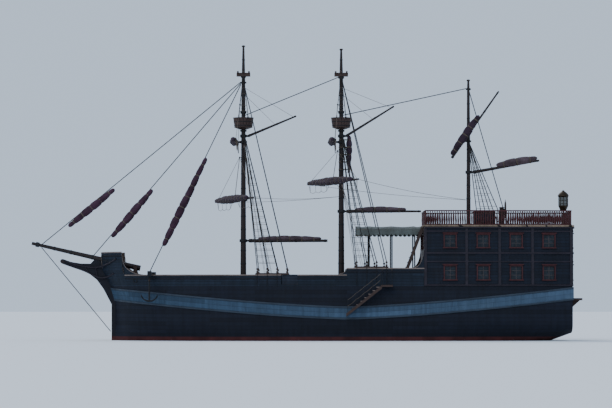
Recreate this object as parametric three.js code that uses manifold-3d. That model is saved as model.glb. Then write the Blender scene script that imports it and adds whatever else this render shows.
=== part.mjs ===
// A three-masted excursion sailing ship, 33.6 m over the bowsprit, afloat.
// Millimetres. +X forward to the bow, +Y to port, +Z up.
// The origin is amidships on the centreline, on the waterline.

import * as THREE from 'three';
import { mergeVertices } from 'three/addons/utils/BufferGeometryUtils.js';
import Module from 'manifold-3d';

const wasm = await Module();
wasm.setup();

// Driving dimensions
const SEAT = 0.3;               // gap left between pieces that touch
const KEEL_HALF = 120;          // half thickness of keel and stem
const KEEL_FOOT = -2420;        // underside of the keel
const CHINE = 1200;             // height of the greatest breadth
const HULL_TOP = 3300;          // top of the solid hull
const WELL_FLOOR = 2900;        // floor of the waist cut into the hull
const DECK = 2950;              // walking surface of the main deck
const WALL = 120;               // bulwark and castle wall thickness
const STEM_X = 13450;           // fore end of the planking at the water
const STEM_DEPTH = 250;         // stem timber ahead of the planking
const STERN_X = -14350;         // aft face of hull and castle
const CASTLE_FRONT = -5460;     // aft face of the castle's front bulkhead
const CASTLE_TOP = 6900;        // underside of the top deck
const TOP_DECK = 7000;          // walking surface over the castle
const MID_DECK = 5150;          // walking surface of the upper cabin
const WAIST_RAIL = 4000;
const AFT_RAIL = 4400;
const BOW_RAIL = 5400;
const AFT_RAIL_X = -660;        // the rail steps up abaft this
const BOW_RAIL_X = 12400;       // and ahead of this
const STRAKE_HALF = 400;        // half height of the pale band
const STRAKE_PROUD = 60;
const GATE = { x0: 2300, x1: 3300, sill: 3400 };

// Hull stations, by name of column. Bend says how far a station follows the stem.
const STATIONS = [
  // x, bottom, breadth at chine, breadth at rail, fullness, bend
  [-14350, 450, 2450, 2450, 3.2, 0],
  [-13200, 20, 2750, 2650, 2.6, 0],
  [-12000, -420, 3000, 2850, 2.2, 0],
  [-10600, -1050, 3200, 3020, 1.75, 0],
  [-8400, -2000, 3420, 3200, 1.6, 0],
  [-5000, -2200, 3560, 3360, 2.1, 0],
  [-1000, -2200, 3600, 3420, 2.6, 0],
  [3000, -2200, 3600, 3420, 2.6, 0],
  [6500, -2200, 3450, 3350, 2.2, 0],
  [9300, -2200, 3000, 3080, 1.8, 0],
  [11300, -2200, 2180, 2480, 1.55, 0.3],
  [12500, -2200, 1280, 1680, 1.4, 0.7],
  [13450, -2200, 120, 120, 1.2, 1],
];
const STEPS_BETWEEN = 2;
const BILGE_ROWS = 7;

// Masts: x, height of hounds, head and truck, radius at foot, head and truck
const MASTS = {
  fore: { x: 5640, hounds: 12840, head: 15800, truck: 18100, r0: 185, rh: 115, r1: 60 },
  main: { x: -360, hounds: 12840, head: 16100, truck: 17900, r0: 195, rh: 115, r1: 60 },
  mizzen: { x: -8160, hounds: 12200, head: 15400, truck: 16000, r0: 160, rh: 85, r1: 60 },
};

const BOWSPRIT = { heel: 11950, tip: 18600, z: 4950, at: 14300, slope: 0.2302, r0: 170, r1: 95 };

// Solids

function solid(geometry) {
  const bare = geometry.clone();
  for (const name of ['normal', 'uv']) bare.deleteAttribute(name);
  const merged = mergeVertices(bare, 1e-3);
  const places = new Float32Array(merged.attributes.position.array);
  const corners = new Uint32Array(merged.index.array);
  const body = new wasm.Manifold(new wasm.Mesh({
    numProp: 3, vertProperties: places, triVerts: corners,
  }));
  if (body.volume() >= 0) return body;
  for (let i = 0; i < corners.length; i += 3) {
    [corners[i], corners[i + 1]] = [corners[i + 1], corners[i]];
  }
  return new wasm.Manifold(new wasm.Mesh({
    numProp: 3, vertProperties: places, triVerts: corners,
  }));
}

function geometryOf(body) {
  const mesh = body.getMesh();
  const geometry = new THREE.BufferGeometry();
  geometry.setAttribute('position', new THREE.BufferAttribute(mesh.vertProperties, 3));
  geometry.setIndex(new THREE.BufferAttribute(mesh.triVerts, 1));
  geometry.computeVertexNormals();
  return geometry;
}

function join(...bodies) {
  return bodies.flat().reduce((sum, body) => sum.add(body));
}

function box(x0, x1, y0, y1, z0, z1) {
  const geometry = new THREE.BoxGeometry(x1 - x0, y1 - y0, z1 - z0);
  geometry.translate((x0 + x1) / 2, (y0 + y1) / 2, (z0 + z1) / 2);
  return solid(geometry);
}

function rod(from, to, r0, r1 = r0, sides = 8, turn = 0) {
  const a = new THREE.Vector3(...from);
  const b = new THREE.Vector3(...to);
  const run = b.clone().sub(a);
  const geometry = new THREE.CylinderGeometry(r1, r0, run.length(), sides);
  geometry.rotateY(turn);
  const up = new THREE.Vector3(0, 1, 0);
  geometry.applyQuaternion(new THREE.Quaternion().setFromUnitVectors(up, run.normalize()));
  const middle = a.add(b).multiplyScalar(0.5);
  geometry.translate(middle.x, middle.y, middle.z);
  return solid(geometry);
}

// A turned body about the upright line through (x, y), from [radius, height] pairs
function turned(profile, x, y, sides = 16, turn = 0) {
  const points = profile.map(([r, z]) => new THREE.Vector2(r, z));
  const geometry = new THREE.LatheGeometry(points, sides);
  geometry.rotateX(Math.PI / 2);
  geometry.rotateZ(turn);
  geometry.translate(x, y, 0);
  return solid(geometry);
}

// An outline in X and Z, as thick as y0 to y1
function slab(outline, y0, y1) {
  const shape = new THREE.Shape(outline.map(([x, z]) => new THREE.Vector2(x, z)));
  const geometry = new THREE.ExtrudeGeometry(shape, { depth: y1 - y0, bevelEnabled: false });
  geometry.rotateX(Math.PI / 2);
  geometry.translate(0, y1, 0);
  return solid(geometry);
}

// A body through cross sections, each a left and a right list of points from bottom to top
function loft(sections) {
  const rows = sections[0].left.length;
  const places = [];
  const corners = [];
  for (const { left, right } of sections) {
    for (const point of [...left, ...right]) places.push(...point);
  }
  const at = (i, side, j) => (i * 2 + side) * rows + j;
  const quad = (a, b, c, d) => corners.push(a, b, c, a, c, d);
  for (let i = 0; i + 1 < sections.length; i++) {
    for (let j = 0; j + 1 < rows; j++) {
      quad(at(i, 0, j), at(i + 1, 0, j), at(i + 1, 0, j + 1), at(i, 0, j + 1));
      const [a, b] = [at(i, 1, j), at(i + 1, 1, j)];
      const [c, d] = [at(i + 1, 1, j + 1), at(i, 1, j + 1)];
      corners.push(a, c, b, a, d, c);
    }
    quad(at(i, 1, 0), at(i + 1, 1, 0), at(i + 1, 0, 0), at(i, 0, 0));
    const top = rows - 1;
    quad(at(i, 0, top), at(i + 1, 0, top), at(i + 1, 1, top), at(i, 1, top));
  }
  const last = sections.length - 1;
  for (let j = 0; j + 1 < rows; j++) {
    quad(at(0, 0, j), at(0, 0, j + 1), at(0, 1, j + 1), at(0, 1, j));
    quad(at(last, 0, j), at(last, 1, j), at(last, 1, j + 1), at(last, 0, j + 1));
  }
  const geometry = new THREE.BufferGeometry();
  geometry.setAttribute('position', new THREE.Float32BufferAttribute(places, 3));
  geometry.setIndex(corners);
  return solid(geometry);
}

// A ring that turns about a round pole with a running gap
function ring(x, z0, z1, poleRadius, outer, sides = 16) {
  const gap = 0.4;
  const inner = (poleRadius + gap) / Math.cos(Math.PI / sides);
  const profile = [[inner, z0], [outer, z0], [outer, z1], [inner, z1], [inner, z0]];
  return turned(profile, x, 0, sides, Math.PI / sides);
}

// Hull form

function stemX(z) {
  if (z < 0) return STEM_X - 1500 * Math.pow(-z / 2200, 2.2);
  const rise = Math.min(Math.max(z - 2200, 0), 2240);
  return STEM_X + 900 * Math.pow(rise / 2240, 1.5);
}

// Catmull-Rom through the station table, k stations from the stern
function frameAt(k) {
  const i = Math.min(Math.floor(k), STATIONS.length - 2);
  const t = k - i;
  const row = (n) => STATIONS[Math.min(Math.max(n, 0), STATIONS.length - 1)];
  const [a, b, c, d] = [row(i - 1), row(i), row(i + 1), row(i + 2)];
  const value = (n) => 0.5 * (2 * b[n] + (c[n] - a[n]) * t
    + (2 * a[n] - 5 * b[n] + 4 * c[n] - d[n]) * t * t
    + (3 * b[n] - a[n] - 3 * c[n] + d[n]) * t * t * t);
  const [x, bottom, chine, rail, fullness, bend] = [0, 1, 2, 3, 4, 5].map(value);
  return { x, bottom, chine, rail, fullness, bend };
}

const FRAMES = [];
for (let n = 0; n <= (STATIONS.length - 1) * STEPS_BETWEEN; n++) {
  FRAMES.push(frameAt(n / STEPS_BETWEEN));
}

const frameX = (frame, z) => frame.x + frame.bend * (stemX(z) - STEM_X);

// Half breadth above the chine, with its tumblehome or flare
function sideY(frame, z) {
  return frame.chine + (frame.rail - frame.chine) * (z - CHINE) / (WAIST_RAIL - CHINE);
}

function strakeZ(x) {
  const run = (x + 700) / 13500;
  return 1680 + (run > 0 ? 1050 : 1150) * Math.pow(Math.abs(run), 1.4);
}

// Outer points of one frame, from the keel up to the hull top
function hullSide(frame, side) {
  const points = [];
  for (let j = 0; j < BILGE_ROWS; j++) {
    const angle = (j / (BILGE_ROWS - 1)) * Math.PI / 2;
    const power = 2 / frame.fullness;
    const out = Math.pow(Math.sin(angle), power);
    const down = j === BILGE_ROWS - 1 ? 0 : Math.pow(Math.cos(angle), power);
    const y = KEEL_HALF + (frame.chine - KEEL_HALF) * out;
    const z = CHINE - (CHINE - frame.bottom) * down;
    points.push([frameX(frame, z), side * y, z]);
  }
  const middle = strakeZ(frame.x);
  for (const z of [middle - STRAKE_HALF, middle + STRAKE_HALF, HULL_TOP]) {
    points.push([frameX(frame, z), side * sideY(frame, z), z]);
  }
  return points;
}

// A band of the ship's side from z0 to z1, between two insets from the outer face
function sideBand(side, z0, z1, outset, inset, frames = FRAMES) {
  const edge = (frame, z, off) => {
    const y = Math.max(sideY(frame, z) + off, 8);
    return [frameX(frame, z), side * y, z];
  };
  return loft(frames.map((frame) => ({
    left: [edge(frame, z0, outset), edge(frame, z1, outset)],
    right: [edge(frame, z0, -inset), edge(frame, z1, -inset)],
  })));
}

// The whole breadth between the walls, or over them with a negative inset
function between(z0, z1, inset) {
  const frames = FRAMES.filter((frame) => frame.chine > 600);
  const edge = (frame, side, z) => [frameX(frame, z), side * (sideY(frame, z) - inset), z];
  return loft(frames.map((frame) => ({
    left: [edge(frame, 1, z0), edge(frame, 1, z1)],
    right: [edge(frame, -1, z0), edge(frame, -1, z1)],
  })));
}

const REACH = 5000;
const across = (x0, x1, z0, z1) => box(x0, x1, -REACH, REACH, z0, z1);

const pieces = [];
function piece(name, body, colour, roughness = 0.7, metalness = 0) {
  pieces.push({ name, body, colour, roughness, metalness });
}

const NEAR_BLACK = 0x141420;
const DARK_WOOD = 0x2b1d1c;
const PALE_BAND = 0x3d5268;
const DEEP_RED = 0x4a1f22;
const DECK_WOOD = 0x6b5442;
const SPAR = 0x3a2c28;
const FURLED = 0x46303f;
const CANVAS = 0x6a7076;
const IRON = 0x23252a;
const BRONZE = 0x8a6a3a;

// Hull, keel and the pale band

const RUDDER = { x: -12150, radius: 60, foot: -2180, trunk: 400 };
const SHAFT = { z: -1450, radius: 45, post: -11050, deep: 350 };

function hull() {
  const shell = loft(FRAMES.map((frame) => ({
    left: hullSide(frame, 1), right: hullSide(frame, -1),
  })));
  const well = between(WELL_FLOOR, HULL_TOP + 200, WALL)
    .intersect(across(STERN_X + 250, 11600, WELL_FLOOR, HULL_TOP + 200));
  const trunk = turned([[0, -2000], [RUDDER.radius + 1, -2000],
    [RUDDER.radius + 1, RUDDER.trunk], [0, RUDDER.trunk]], RUDDER.x, 0, 24);
  return shell.subtract(well).subtract(trunk);
}

function keel() {
  const low = FRAMES.map((frame) => [frame.x + frame.bend * (stemX(frame.bottom) - STEM_X),
    frame.bottom - SEAT]).filter(([x]) => x > SHAFT.post + 200);
  const fore = hullSide(FRAMES[FRAMES.length - 1], 1).map(([x, , z]) => [x + SEAT, z]);
  const [postX, postZ] = low[0];
  const under = (x) => bowspritZ(x) - bowspritRadius(x) + 40;
  const outline = [
    [SHAFT.post, KEEL_FOOT + 200], [SHAFT.post, postZ - 260], [postX, postZ],
    ...low.slice(1), ...fore.slice(1),
    [14150, 4500], [14400, under(14400)], [14750, under(14750)],
    [15000, 4690], [15600, 4700], [16200, 4800], [16700, 4980], [16840, 4880], [16760, 4700],
    [16300, 4540], [15700, 4380], [15100, 4100], [14600, 3700], [14200, 3150], [13700, 2200],
    [STEM_X + STEM_DEPTH, 0], [13400, -900], [12700, -1700], [12000, KEEL_FOOT],
    [RUDDER.x - 150, KEEL_FOOT], [RUDDER.x - 150, KEEL_FOOT + 200],
  ];
  const bore = rod([SHAFT.post - 50, 0, SHAFT.z], [SHAFT.post + SHAFT.deep, 0, SHAFT.z],
    SHAFT.radius + 0.6, SHAFT.radius + 0.6, 24, Math.PI / 24);
  const pintle = turned([[0, KEEL_FOOT + 100], [RUDDER.radius * 0.6 + 0.6, KEEL_FOOT + 100],
    [RUDDER.radius * 0.6 + 0.6, 0], [0, 0]], RUDDER.x, 0, 24);
  return slab(outline, -KEEL_HALF, KEEL_HALF).subtract(bore).subtract(pintle)
    .subtract(bowspritBody(SEAT));
}

// The pale band goes round both sides and across the stern
function strake() {
  const side = (sign) => {
    const ends = FRAMES.map((frame, i) => {
      const middle = strakeZ(frame.x);
      const [z0, z1] = [middle - STRAKE_HALF, middle + STRAKE_HALF];
      const row = (off) => [z0, z1].map((z) =>
        [frameX(frame, z) - (i ? 0 : SEAT), sign * (sideY(frame, z) + off), z]);
      return { left: row(STRAKE_PROUD), right: row(SEAT) };
    });
    const first = ends[0];
    const back = (row) => row.map(([x, y, z]) => [x - STRAKE_PROUD, y, z]);
    return loft([{ left: back(first.left), right: back(first.right) }, ...ends]);
  };
  const middle = strakeZ(STERN_X);
  const breadth = STATIONS[0][2] + 30;
  const stern = box(STERN_X - STRAKE_PROUD - SEAT, STERN_X - SEAT, -breadth, breadth,
    middle - STRAKE_HALF, middle + STRAKE_HALF);
  return join(side(1), side(-1), stern);
}

// Bulwarks, decks and gates

function railed(side, x0, x1, z0, railTop) {
  const cap = 70;
  const low = sideBand(side, z0, railTop - cap, 0, WALL);
  const high = sideBand(side, railTop - cap, railTop, 45, WALL + 45);
  return join(low, high).intersect(across(x0, x1, z0 - 1, railTop + 1));
}

// Boarding ladder on the port bulwark: two strings, treads, a landing and its stays
const SIDE_LADDER = { foot: [-620, 1450], head: [-2760, 3350], inner: 3665, outer: 4165,
  landing: -3420, depth: 200, steps: 9 };

function sideLadder() {
  const { foot: [x0, z0], head: [x1, z1], inner, outer, landing, depth, steps } = SIDE_LADDER;
  const string = (y) => slab([[x0, z0], [x1, z1 - depth], [x1, z1], [x0, z0 + depth]],
    y, y + 45);
  const wallY = breadthAt((landing + x1) / 2, z1) - WALL / 2;
  const parts = [string(inner), string(outer - 45),
    box(landing, x1 + 40, wallY, outer, z1 - 45, z1)];
  for (let n = 1; n < steps; n++) {
    const x = x0 + (x1 - x0) * n / steps;
    const z = z0 + (z1 - z0) * n / steps;
    parts.push(box(x - 120, x + 100, inner + 20, outer - 20, z + 80, z + 115));
  }
  for (const x of [landing + 40, x1 - 40]) {
    parts.push(rod([x, outer - 50, z1 - 20], [x, wallY - 20, 4200], 22, 22, 6));
  }
  return join(parts);
}

const CATHEAD = { x0: 11150, x1: 11350, out: 800, z0: 4020, z1: 4200 };

function bulwark(side) {
  const foot = HULL_TOP + SEAT;
  const front = CASTLE_FRONT + WALL + SEAT;
  const wall = join(
    railed(side, front, AFT_RAIL_X, foot, AFT_RAIL),
    railed(side, AFT_RAIL_X, BOW_RAIL_X, foot, WAIST_RAIL),
    railed(side, BOW_RAIL_X, 15000, foot, BOW_RAIL),
  );
  const head = FRAMES.reduce((best, frame) =>
    (Math.abs(frame.x - CATHEAD.x0) < Math.abs(best.x - CATHEAD.x0) ? frame : best));
  const y = sideY(head, WAIST_RAIL);
  const beam = box(CATHEAD.x0, CATHEAD.x1, Math.min(side * (y - 300), side * (y + CATHEAD.out)),
    Math.max(side * (y - 300), side * (y + CATHEAD.out)), 3900, CATHEAD.z1);
  const gate = across(GATE.x0, GATE.x1, GATE.sill, WAIST_RAIL + 10);
  const fittings = side > 0 ? [beam, sideLadder()] : [beam];
  return join(wall, ...fittings).subtract(gate).subtract(bowspritBody(8));
}

// A gate leaf, hinged at its forward edge
function gate(side) {
  const gap = 8;
  const leaf = sideBand(side, GATE.sill + gap, WAIST_RAIL, -20, WALL - 20);
  const board = leaf.intersect(across(GATE.x0 + gap, GATE.x1 - 60, GATE.sill, WAIST_RAIL));
  const frame = FRAMES.find((f) => f.x >= 2900);
  const y = side * (sideY(frame, WAIST_RAIL) - WALL + 34);
  const pin = rod([GATE.x1 - 35, y, GATE.sill + SEAT], [GATE.x1 - 35, y, WAIST_RAIL - 60],
    34, 34, 12);
  const arm = box(GATE.x1 - 120, GATE.x1 - 35, y - 25, y + 25, GATE.sill + 120, WAIST_RAIL - 120);
  return join(board, pin, arm);
}

function mastHole(mast, z0, z1) {
  const profile = [[0, z0], [mast.r0 + 4, z0], [mast.r0 + 4, z1], [0, z1]];
  return turned(profile, mast.x, 0, 24);
}

const HATCH = { x0: 1300, x1: 4100, half: 900, top: 3450 };

function mainDeck() {
  return between(WELL_FLOOR + SEAT, DECK, WALL + 6)
    .intersect(across(STERN_X + 256, 11594, 0, DECK));
}

const FORE_DECK = HULL_TOP + 50;

// The fore deck with the bitts and the windlass that stand on it
function foreDeck() {
  const planks = between(HULL_TOP + SEAT, FORE_DECK, WALL + 10)
    .intersect(across(11600, 13000, 0, FORE_DECK));
  return join(planks, bowBitts(), windlass());
}

function hatch() {
  const coaming = box(HATCH.x0, HATCH.x1, -HATCH.half, HATCH.half, DECK + SEAT, HATCH.top);
  const ridge = box(HATCH.x0 - 60, HATCH.x1 + 60, -HATCH.half - 60, HATCH.half + 60,
    HATCH.top - 90, HATCH.top);
  return join(coaming, ridge);
}

// Castle

const WINDOW_X = [-6900, -8900, -10900, -12900];
const WINDOW_ROWS = [[3700, 4500], [5650, 6400]];
const WINDOW = { half: 330, depth: 60 };
const DOORS = { half: 420, y: 1250, foot: 3010, top: 4780 };

function quarterWall(side) {
  const wall = sideBand(side, HULL_TOP + SEAT, CASTLE_TOP, 0, WALL)
    .intersect(across(STERN_X + WALL + SEAT, CASTLE_FRONT, 0, CASTLE_TOP + 1));
  const recesses = WINDOW_ROWS.flatMap(([z0, z1]) => {
    const band = sideBand(side, z0, z1, 100, WINDOW.depth);
    return WINDOW_X.map((x) =>
      band.intersect(across(x - WINDOW.half, x + WINDOW.half, z0, z1)));
  });
  return wall.subtract(join(recesses));
}

function transom() {
  const wall = between(HULL_TOP + SEAT, CASTLE_TOP, 0)
    .intersect(across(STERN_X, STERN_X + WALL, 0, CASTLE_TOP + 1));
  const panes = [-1650, -550, 550, 1650].flatMap((y) => WINDOW_ROWS.map(([z0, z1]) =>
    box(STERN_X - 50, STERN_X + WINDOW.depth, y - WINDOW.half, y + WINDOW.half, z0, z1)));
  return wall.subtract(join(panes));
}

// The front bulkhead fills the castle's face from deck to top deck
function frontBulkhead() {
  const wall = between(DECK + SEAT, CASTLE_TOP - SEAT, WALL + 6)
    .intersect(across(CASTLE_FRONT + SEAT, CASTLE_FRONT + WALL, 0, CASTLE_TOP));
  const cheeks = between(HULL_TOP + SEAT, CASTLE_TOP, 0)
    .intersect(across(CASTLE_FRONT + SEAT, CASTLE_FRONT + WALL, 0, CASTLE_TOP));
  const openings = [-1, 1].flatMap((side) => [
    box(-6000, -5000, side * DOORS.y - DOORS.half, side * DOORS.y + DOORS.half,
      DOORS.foot, DOORS.top),
    box(CASTLE_FRONT + WALL - WINDOW.depth, -5000, side * DOORS.y - 400,
      side * DOORS.y + 400, 5600, 6400),
  ]);
  return join(wall, cheeks).subtract(join(openings));
}

// A door leaf, hinged at its outboard edge
function door(side) {
  const gap = 8;
  const outer = side * (DOORS.y + DOORS.half - gap);
  const inner = side * (DOORS.y - DOORS.half + gap);
  const x = CASTLE_FRONT + WALL - 24;
  const leaf = box(x - 22, x + 22, Math.min(outer - side * 45, inner),
    Math.max(outer - side * 45, inner), DOORS.foot + gap, DOORS.top - gap);
  const hinge = outer - side * 25;
  const pin = rod([x, hinge, DOORS.foot + SEAT], [x, hinge, DOORS.top - SEAT], 22, 22, 12);
  const panel = box(x - 40, x + 40, Math.min(outer - side * 200, inner + side * 150),
    Math.max(outer - side * 200, inner + side * 150), DOORS.foot + 200, DOORS.top - 200);
  return join(leaf, pin, panel);
}

function midDeck() {
  return between(MID_DECK - 100, MID_DECK, WALL + 20)
    .intersect(across(STERN_X + WALL + SEAT, CASTLE_FRONT, 0, MID_DECK))
    .subtract(mastHole(MASTS.mizzen, 4000, 6000));
}

function topDeck() {
  return between(CASTLE_TOP + SEAT, TOP_DECK, -60)
    .intersect(across(STERN_X - 90, CASTLE_FRONT + WALL + 60, 0, TOP_DECK))
    .add(box(STERN_X - 90, STERN_X + 200, -2500, 2500, CASTLE_TOP + SEAT, TOP_DECK))
    .subtract(mastHole(MASTS.mizzen, 6000, 8000));
}

const LADDER = { y: 2430, half: 350 };
const POOP_RAIL = { top: 7900, aft: STERN_X + 60, fore: CASTLE_FRONT + 80 };

function poopRail() {
  const z0 = TOP_DECK + SEAT;
  const span = across(POOP_RAIL.aft, POOP_RAIL.fore, 0, 9000);
  const bars = [1, -1].flatMap((side) => [
    sideBand(side, POOP_RAIL.top - 70, POOP_RAIL.top, -30, 150).intersect(span),
    sideBand(side, z0, z0 + 60, -50, 130).intersect(span),
  ]);
  const posts = [];
  const count = 9;
  for (let n = 0; n <= count; n++) {
    const x = POOP_RAIL.aft + 50 + (POOP_RAIL.fore - POOP_RAIL.aft - 100) * n / count;
    for (const side of [1, -1]) {
      const y = side * (breadthAt(x, 7450) - 90);
      posts.push(box(x - 35, x + 35, y - 35, y + 35, z0 + 20, POOP_RAIL.top - 20));
    }
  }
  const rows = [
    [POOP_RAIL.aft, -2430, 2430],
    [POOP_RAIL.fore - 80, -3080, LADDER.y - LADDER.half - 60],
  ];
  for (const [x, y0, y1] of rows) {
    bars.push(box(x, x + 80, y0, y1, POOP_RAIL.top - 70, POOP_RAIL.top));
    bars.push(box(x, x + 80, y0, y1, z0, z0 + 60));
    for (let n = 0; n <= 4; n++) {
      const y = y0 + 60 + (y1 - y0 - 120) * n / 4;
      posts.push(box(x + 10, x + 70, y - 35, y + 35, z0 + 20, POOP_RAIL.top - 20));
    }
  }
  return join(bars, posts);
}

function breadthAt(x, z) {
  for (let n = 0; n + 1 < FRAMES.length; n++) {
    const [a, b] = [FRAMES[n], FRAMES[n + 1]];
    if (x >= a.x && x <= b.x) {
      const t = (x - a.x) / (b.x - a.x);
      return sideY(a, z) * (1 - t) + sideY(b, z) * t;
    }
  }
  return sideY(FRAMES[0], z);
}

// Bowsprit

const bowspritZ = (x) => BOWSPRIT.z + (x - BOWSPRIT.at) * BOWSPRIT.slope;

function bowspritRadius(x) {
  const t = (x - BOWSPRIT.heel) / (BOWSPRIT.tip - BOWSPRIT.heel);
  return BOWSPRIT.r0 + (BOWSPRIT.r1 - BOWSPRIT.r0) * t;
}

function bowspritBody(grown = 0) {
  const [a, b] = [BOWSPRIT.heel, BOWSPRIT.tip];
  return rod([a, 0, bowspritZ(a)], [b, 0, bowspritZ(b)],
    BOWSPRIT.r0 + grown, BOWSPRIT.r1 + grown, 16);
}

function bowsprit() {
  const cap = rod([18150, 0, bowspritZ(18150)], [18350, 0, bowspritZ(18350)], 190, 190, 12);
  return join(bowspritBody(), cap);
}

function bowBitts() {
  const x0 = BOWSPRIT.heel + 170;
  const top = bowspritZ(x0) - bowspritRadius(x0) * 1.03 - SEAT;
  const z0 = FORE_DECK - 20;
  return join(
    box(x0, x0 + 260, -260, 260, z0, top + 60).subtract(bowspritBody(SEAT)),
    box(x0 + 20, x0 + 240, 200, 420, z0, top + 320),
    box(x0 + 20, x0 + 240, -420, -200, z0, top + 320),
  );
}

// Masts

const MAST_SIDES = 16;
const NEST = { floor: 13050, rim: 13650, under: 12920, r: 560, flare: 640 };
const TREES = { z0: 16180, z1: 16500, half: 420 };

function mastRadius(mast, z) {
  if (z > mast.head) {
    return mast.rh + (mast.r1 - mast.rh) * (z - mast.head) / (mast.truck - mast.head);
  }
  return mast.r0 + (mast.rh - mast.r0) * (z - DECK) / (mast.head - DECK);
}

function mastPole(mast, grown = 0) {
  const profile = [[0, DECK + SEAT], [mast.r0 + grown, DECK + SEAT],
    [mast.rh + grown, mast.head], [mast.r1 + grown, mast.truck], [0, mast.truck]];
  return turned(profile, mast.x, 0, MAST_SIDES);
}

function mastBody(mast, withNest) {
  const truck = turned([[0, mast.truck - 120], [110, mast.truck - 120], [110, mast.truck - 30],
    [0, mast.truck]], mast.x, 0, 12);
  const parts = [mastPole(mast), truck];
  if (withNest) {
    parts.push(turned([[0, NEST.under], [200, NEST.under], [NEST.r, NEST.floor],
      [NEST.flare, NEST.rim], [NEST.flare - 50, NEST.rim], [NEST.r - 50, NEST.floor + 60],
      [0, NEST.floor + 60]], mast.x, 0, 16));
    parts.push(box(mast.x - TREES.half, mast.x + TREES.half, -60, 60, TREES.z0, TREES.z1));
    parts.push(box(mast.x - 60, mast.x + 60, -TREES.half, TREES.half, TREES.z0, TREES.z1));
  }
  return join(parts);
}

// Where the nth stay leaves the head collar, one below the other
function stayHead(mast, n) {
  return [mast.x + mastRadius(mast, mast.head) + 45, 0, mast.head + 35 - 75 * n];
}

// Standing rigging of one mast is one body: collars, shrouds, backstays, stays and rail boards
const CABLE = 26;
const SHROUDS = {
  fore: { drops: [900, 1500, 2100], back: 2700, backs: [1, -1], board: WAIST_RAIL, y: 0 },
  main: { drops: [900, 1500, 2100], back: 2700, backs: [1, -1], board: AFT_RAIL, y: 0 },
  mizzen: { drops: [700, 1300, 1900], back: 2500, backs: [-1], board: TOP_DECK, y: 260 },
};

function rigging(name, stays) {
  const mast = MASTS[name];
  const plan = SHROUDS[name];
  const collar = (z) => {
    const r = mastRadius(mast, z - 60) + SEAT + 0.5;
    const profile = [[r, z - 60], [r + 70, z - 60], [r + 70, z + 60], [r, z + 60], [r, z - 60]];
    return turned(profile, mast.x, 0, MAST_SIDES);
  };
  const parts = [collar(mast.hounds), collar(mast.head)];
  const foot = plan.board + SEAT;
  const reach = (z) => mastRadius(mast, z) + 40;
  for (const side of [1, -1]) {
    const y = (drop) => side * (breadthAt(mast.x - drop, plan.board) - WALL / 2 - plan.y);
    const first = plan.drops[0];
    for (const drop of plan.drops) {
      parts.push(rod([mast.x - drop, y(drop), foot + 100],
        [mast.x, side * reach(mast.hounds), mast.hounds], CABLE, CABLE, 5));
      parts.push(rod([mast.x - drop, y(drop), foot + 60], [mast.x - drop, y(drop), foot + 320],
        70, 70, 6));
    }
    if (plan.backs.includes(side)) {
      parts.push(rod([mast.x - plan.back, y(plan.back), foot + 60],
        [mast.x - 20, side * reach(mast.head), mast.head], CABLE, CABLE, 5));
    }
    parts.push(loft([first - 120, plan.back + 120].map((drop) => ({
      left: [[mast.x - drop, y(drop) + 80, foot], [mast.x - drop, y(drop) + 80, foot + 90]],
      right: [[mast.x - drop, y(drop) - 80, foot], [mast.x - drop, y(drop) - 80, foot + 90]],
    }))));
  }
  stays.forEach((to, n) => parts.push(rod(stayHead(mast, n), to, CABLE, CABLE, 6)));
  return join(parts);
}

const FORE_STAYS = {
  tip: [18050, 0, bowspritZ(18050)],
  head: [14900, 0, bowspritZ(14900)],
  deck: [11780, 0, FORE_DECK],
};

function foreRigging() {
  const stays = Object.values(FORE_STAYS);
  const deck = box(11000, 13300, -900, 900, HULL_TOP - 600, FORE_DECK + SEAT);
  return rigging('fore', stays).subtract(bowspritBody(SEAT)).subtract(deck);
}

// The main and mizzen topmast stays end on the mast ahead
function aftRigging(name, ahead) {
  const to = [MASTS[ahead].x, 0, 13800];
  return rigging(name, [to]).subtract(mastPole(MASTS[ahead], 0.5));
}

// Yards

// Brace is how far a yard is turned aft on the port side, in degrees
const YARDS = {
  fore_lower: { mast: 'fore', z: 8600, half: 4700, r: 110, ahead: 560, sail: 270, brace: 15 },
  fore_topsail: { mast: 'fore', z: 12150, half: 3500, r: 85, ahead: 390, sail: 250, brace: 0 },
  main_lower: { mast: 'main', z: 9700, half: 4900, r: 110, ahead: 560, sail: 270, brace: 18 },
  main_topsail: { mast: 'main', z: 12150, half: 3600, r: 85, ahead: 390, sail: 250, brace: 0 },
};

function braced(body, plan) {
  const { x } = MASTS[plan.mast];
  return body.translate([-x, 0, 0]).rotate([0, 0, plan.brace]).translate([x, 0, 0]);
}

function yardPole(plan, grown = 0) {
  const x = MASTS[plan.mast].x + plan.ahead;
  const tip = plan.r * 0.5;
  const half = (side) => rod([x, 0, plan.z], [x, side * plan.half, plan.z],
    plan.r + grown, tip + grown, 8);
  return join(half(1), half(-1));
}

function yard(plan) {
  const mast = MASTS[plan.mast];
  const parrel = ring(mast.x, plan.z - 80, plan.z + 80, mastRadius(mast, plan.z - 80),
    mastRadius(mast, plan.z) + 90);
  const arm = box(mast.x + mastRadius(mast, plan.z) + 60, mast.x + plan.ahead, -60, 60,
    plan.z - 60, plan.z + 60);
  return join(braced(join(yardPole(plan), arm), plan), parrel);
}

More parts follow.
